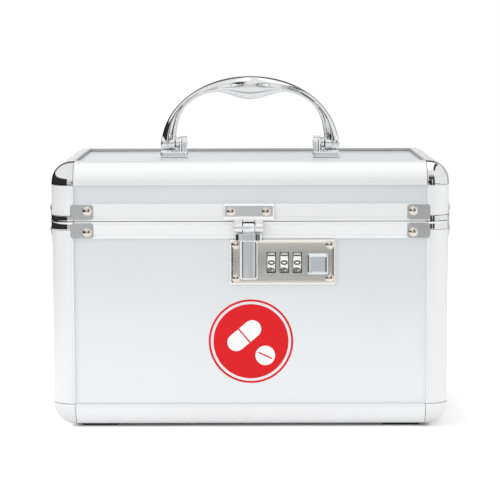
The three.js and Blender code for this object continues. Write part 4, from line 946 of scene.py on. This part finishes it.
# Near white and half diffuse: a painted highlight on the lock plate's raised border.
border_painted_highlight = grained("nickel_border_painted_highlight", "nickel_plate", (80, 3), ((0.96, 0.95, 0.91), (0.99, 0.98, 0.95)),
                       (0.2, 0.08), Metallic=0.4)
DIALS = [13.1, 21.2, 29.3]
DIAL_Z, BUTTON_X, BUTTON_Z = LOCK_Z - 0.5, 42.2, LOCK_Z - 1.3
LOCK_FACE, PLATE_FACE, PLATE_BACK = -1.0, -0.72, 0.3


def flat_with_holes(outer, holes, face, back):
    """A sheet with holes, filled by triangles between its edges, seen from the front."""
    sheet = bmesh.new()
    for outline in [outer, *holes]:
        corners = [sheet.verts.new((x, face, z)) for x, z in outline]
        for at, point in enumerate(corners):
            sheet.edges.new((point, corners[(at + 1) % len(corners)]))
    bmesh.ops.triangle_fill(sheet, use_beauty=True, edges=sheet.edges[:])
    sheet.verts.index_update()
    form = Form()
    form.points = [point.co.copy() for point in sheet.verts]
    form.faces = [[point.index for point in face_made.verts] for face_made in sheet.faces]
    count = len(form.points)
    rims = [[edge.verts[0].index, edge.verts[1].index] for edge in sheet.edges if len(edge.link_faces) == 1]
    form.points += [Vector((point.x, back, point.z)) for point in form.points[:count]]
    form.faces += [[count + corner for corner in reversed(face_made)] for face_made in form.faces[:]]
    form.faces += [[a, b, count + b, count + a] for a, b in rims]
    sheet.free()
    return form


windows = [rounded((x - 2.85, x + 2.85), (DIAL_Z - 6.7, DIAL_Z + 6.7), 0.5, 3) for x in DIALS]
windows.append(rounded((HASP_X - 1.5, HASP_X + 1.5), (LOCK_Z - 5, LOCK_Z + 3.6), 0.4, 3))
windows.append(rounded((38.4, 48.5), (BUTTON_Z - 4.6, BUTTON_Z + 4.6), 0.6, 3))
plate_outline = rounded((LOCK_LEFT + 1.3, LOCK_RIGHT - 1.9), (LOCK_LOW + 1.5, LOCK_HIGH - 2), 0.5, 2)
plate_face = flat_with_holes(plate_outline, windows, PLATE_FACE, PLATE_BACK)
put("lock_plate_face", plate_face, nickel, "body", "lock_plate", bevel=0.1, place=front, sharp=50)
border_x, border_z = (LOCK_LEFT - 0.7, LOCK_RIGHT + 0.1), (LOCK_LOW - 0.5, LOCK_HIGH)
plate_ramp = stacked("y", border_x, border_z, 1.2, [
    (0.95, LOCK_FACE + 0.4), (0.98, LOCK_FACE + 0.01), (2.05, PLATE_FACE), (2.05, PLATE_FACE + 0.4)], loop=True)
plate_border = stacked("y", border_x, border_z, 1.2, [
    (0, 1.6), (0, 0.1), (0.15, -0.5), (0.4, LOCK_FACE + 0.08), (0.65, LOCK_FACE), (1, LOCK_FACE), (1, 0.2),
    (0.9, 0.3), (0.9, 1.6)], loop=True)
put("lock_plate_ramp", plate_ramp, rivet_metal, "body", "lock_plate", place=front)
put("lock_plate_border", plate_border, border_painted_highlight, "body", "lock_plate", place=front)
for x in (LOCK_LEFT + 3.4, LOCK_RIGHT - 3.4):
    for z in (LOCK_LOW + 3.4, LOCK_HIGH - 3.4):
        rivets["body"].add(rivet_head(x, PLATE_FACE, z, radius=2.8, rise=1.3), front)
for part, heads in rivets.items():
    put(f"{part}_rivets", heads, rivet_metal, part)
dark_zinc = grained("dark_zinc", "zinc_plate", (120, 4), ((0.1, 0.1, 0.105), (0.17, 0.17, 0.175)), (0.4, 0.15),
                    Metallic=0.8)
dark_zinc.dress("lock_case")


# Dials: three wheels of white plastic with ten flats, a notch between each two, and black digits that lie on
# their sides. They turn on the lock case's shaft.
white_plastic = grained("dial_plastic", "dial_plastic", (500, 3), ((0.86, 0.86, 0.84), (0.91, 0.91, 0.9)),
                        (0.32, 0.08))
ink = grained("digit_ink", "digit_ink", (900, 3), ((0.012, 0.012, 0.013), (0.03, 0.03, 0.032)), (0.5, 0))
DIAL_RADIUS, DIAL_HALF, DIAL_EDGE, FLAT_TURN, DIAL_DIGITS, DIGIT_HEIGHT = 7.5, 2.4, 0.25, 13, 10, 4.1
dial_y = LOCK_FACE - 0.6 + DIAL_RADIUS


def wheel_ring(x, shrink):
    ring = []
    for digit in range(DIAL_DIGITS):
        for turn, radius in ((-FLAT_TURN, DIAL_RADIUS), (FLAT_TURN, DIAL_RADIUS), (15.5, DIAL_RADIUS - 0.35),
                             (18, DIAL_RADIUS - 0.5), (20.5, DIAL_RADIUS - 0.35)):
            angle = radians(digit * 36 + turn)
            ring.append((x, dial_y - (radius - shrink) * cos(angle), DIAL_Z + (radius - shrink) * sin(angle)))
    return ring


def glyph(text, height):
    """A digit as a thin flat form in the (x, y) plane, about its own middle."""
    words = bpy.data.curves.new("glyph", "FONT")
    words.body = text
    words.size = height * 1.4
    words.align_x = words.align_y = "CENTER"
    words.extrude = 0.04
    words.offset = 0.13
    form = form_of(added("glyph", words))
    heights = [point.y for point in form.points]
    middle = (min(heights) + max(heights)) / 2
    form.points = [Vector((point.x * 1.06, point.y - middle, point.z)) for point in form.points]
    return form


on_flat = (Matrix.Translation((0, -DIAL_RADIUS * cos(radians(FLAT_TURN)), 0))
           @ Matrix(((0, -1, 0, 0), (0, 0, -1, 0), (1, 0, 0, 0), (0, 0, 0, 1))))
digits = Form()
for digit in range(DIAL_DIGITS):
    turned_to = Matrix.Rotation(radians(digit * 36), 4, "X").inverted()
    digits.add(glyph(str(digit), DIGIT_HEIGHT), turned_to @ on_flat)
for number, x in enumerate(DIALS, 1):
    bore = [[(end, dial_y - 1.7 * cos(radians(7.2 * step)), DIAL_Z + 1.7 * sin(radians(7.2 * step)))
             for step in range(5 * DIAL_DIGITS)] for end in (x + DIAL_HALF, x - DIAL_HALF)]
    wheel = Form().loft([wheel_ring(x - DIAL_HALF, DIAL_EDGE), wheel_ring(x - DIAL_HALF + DIAL_EDGE, 0),
                         wheel_ring(x + DIAL_HALF - DIAL_EDGE, 0), wheel_ring(x + DIAL_HALF, DIAL_EDGE), *bore],
                        loop=True)
    put(f"dial_wheel_{number}", wheel, white_plastic, f"dial_{number}", f"dial_{number}", place=front)
    shown = Form().add(digits, Matrix.Translation((x, dial_y, DIAL_Z)))
    put(f"dial_digits_{number}", shown, ink, f"dial_{number}", place=front)


# Release slide: a chromed button with a dished face, on a stem that joins it to the flat plate inside the lock.
# The plate runs under the dials to the bolt, and a lug on it meets the return spring.
BUTTON_WIDE, BUTTON_TALL = (BUTTON_X - 6.5, BUTTON_X + 6.5), (BUTTON_Z - 6.7, BUTTON_Z + 6.7)
BUTTON_BACK, BUTTON_FACE = LOCK_FACE - 0.3, LOCK_FACE - 2.2
button_chrome = grained("button_chrome", "chrome", (260, 3), ((0.78, 0.83, 0.865), (0.87, 0.91, 0.935)),
                        (0.06, 0.06), Metallic=1.0)
dish = ((0, 1.1, 1.3), (0.12, 0.65, 1.3), (0.4, 0.25, 1.2), (0.8, 0.03, 1), (1.05, 0, 0.9), (1.3, 0.06, 0.8),
        (1.75, 0.35, 0.6), (1.9, 0.4, 0.6), (2.1, 0.41, 0.5), (3.2, 0.41, 0.5))
slide = stacked("y", BUTTON_WIDE, BUTTON_TALL, 0.5, [
    (0.1, BUTTON_BACK, 1), (0, BUTTON_BACK - 0.3, 1.1),
    *[(margin, BUTTON_FACE + deep, radius) for margin, deep, radius in dish]], 6)
slide.add(box((38.7, 45.7), (BUTTON_BACK - 0.3, 2.7), (BUTTON_Z - 4.3, BUTTON_Z + 4.3)))
tongue = [(0.1, LOCK_Z - 1.2), (2.3, LOCK_Z - 1.2), (2.3, 96.7), (40.9, 96.7), (40.9, BUTTON_Z + 4.3),
          (37.2, BUTTON_Z + 4.3), (37.2, 98.5), (4.5, 98.5), (4.5, LOCK_Z + 1.2), (0.1, LOCK_Z + 1.2)]
slide.add(prism(tongue, (1.6, 3.8), "y"))
slide.add(box((37.2, 38.7), (1.6, 12.8), (BUTTON_Z - 2.8, BUTTON_Z + 2.8)))
put("release_button_slide", slide, button_chrome, "release_slide", "lock_slide", bevel=0.1, place=front,
    sharp=40)


# Return spring: a coil of drawn wire between the slide's lug and the end of the lock case, with a short
# straight tail at each end. It is drawn at one length; it does not shorten here as the button is pushed.
wire_metal = grained("spring_steel", "spring_steel", (800, 3), ((0.42, 0.43, 0.45), (0.52, 0.53, 0.55)),
                     (0.22, 0.12), Metallic=1.0)
SPRING_START, SPRING_END, WIRE, COIL, CURLS, SPRING_Y, TRAVEL = 39, 48.3, 0.6, 2.2, 7, 10, 2.5
SPRING_LENGTH, COIL_STEPS = SPRING_END - SPRING_START, CURLS * 32
path = []
for step in range(-6, COIL_STEPS + 7):
    share = min(max(step / COIL_STEPS, 0), 1)
    beyond = step - share * COIL_STEPS
    turn = 2 * pi * CURLS * share
    path.append(Vector((SPRING_START + WIRE + (SPRING_LENGTH - 2 * WIRE) * share + beyond * WIRE / 6,
                        SPRING_Y + COIL * cos(turn), BUTTON_Z + COIL * sin(turn))))
rings = []
for at, point in enumerate(path):
    forward = (path[min(at + 1, len(path) - 1)] - path[max(at - 1, 0)]).normalized()
    outward = Vector((0, point.y - SPRING_Y, point.z - BUTTON_Z)).normalized()
    aside = forward.cross(outward).normalized()
    rings.append([point + (outward * cos(radians(30 * step)) + aside * sin(radians(30 * step))) * WIRE / 2
                  for step in range(12)])
spring = put("return_spring", Form().loft(rings), wire_metal, "body", "lock_spring", place=front)
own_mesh(spring)


# Badge: a round print on the front panel, a red disc in a thin red ring with a white capsule and tablet. It is
# a clear film a tenth of a millimetre thick, laid on the laminate.
red = grained("print_red", "print_red", (1200, 3), ((0.7, 0.012, 0.017), (0.73, 0.017, 0.022)), (0.5, 0.1),
              Specular_IOR_Level=0.15)
white_ink = grained("print_white", "print_white", (1200, 3), ((0.9, 0.9, 0.9), (0.94, 0.94, 0.94)),
                    (0.3, 0.08))
BADGE_X, BADGE_Z, PANEL_Y = 0.3, 56.7, 1.9


def disc(x, z, radius, steps=96):
    return arc(BADGE_X + x, BADGE_Z + z, radius, 0, 360 - 360 / steps, steps - 1)


def tilted(outline, middle_x, middle_z, tilt):
    """The outline turned by tilt degrees and put at a place measured from the badge's middle."""
    along, aside = cos(radians(tilt)), sin(radians(tilt))
    return [(BADGE_X + middle_x + x * along - z * aside, BADGE_Z + middle_z + x * aside + z * along)
            for x, z in outline]


def printed(outline, front_at, back_at):
    return prism(outline, (PANEL_Y - front_at, PANEL_Y - back_at), "y")


def stroke(half_length, half_width):
    return [(-half_length, -half_width), (half_length, -half_width), (half_length, half_width),
            (-half_length, half_width)]


badge_red = Form().loft([[(x, PANEL_Y - proud, z) for x, z in disc(0, 0, radius)] for radius, proud in (
    (26.6, 0.01), (26.6, 0.1), (25.3, 0.1), (25.3, 0.01))], loop=True)
badge_red.add(printed(disc(0, 0, 23.6), 0.1, 0.01))
capsule = arc(6.6, 0, 5.6, -90, 90, 16) + arc(-6.6, 0, 5.6, 90, 270, 16)
badge_white = printed(tilted(capsule, -4.2, 3.6, 40), 0.16, 0.09)
badge_white.add(printed(disc(9, -9, 6.2, 64), 0.16, 0.09))
marks = printed(tilted(stroke(0.45, 5.7), -4.2, 3.6, 40), 0.2, 0.15)
marks.add(printed(tilted(stroke(4.6, 0.45), 9, -9, -25), 0.2, 0.15))
put("badge_red", badge_red, red, "body", place=front)
put("badge_white", badge_white, white_ink, "body", place=front)
put("badge_marks", marks, red, "body", place=front)
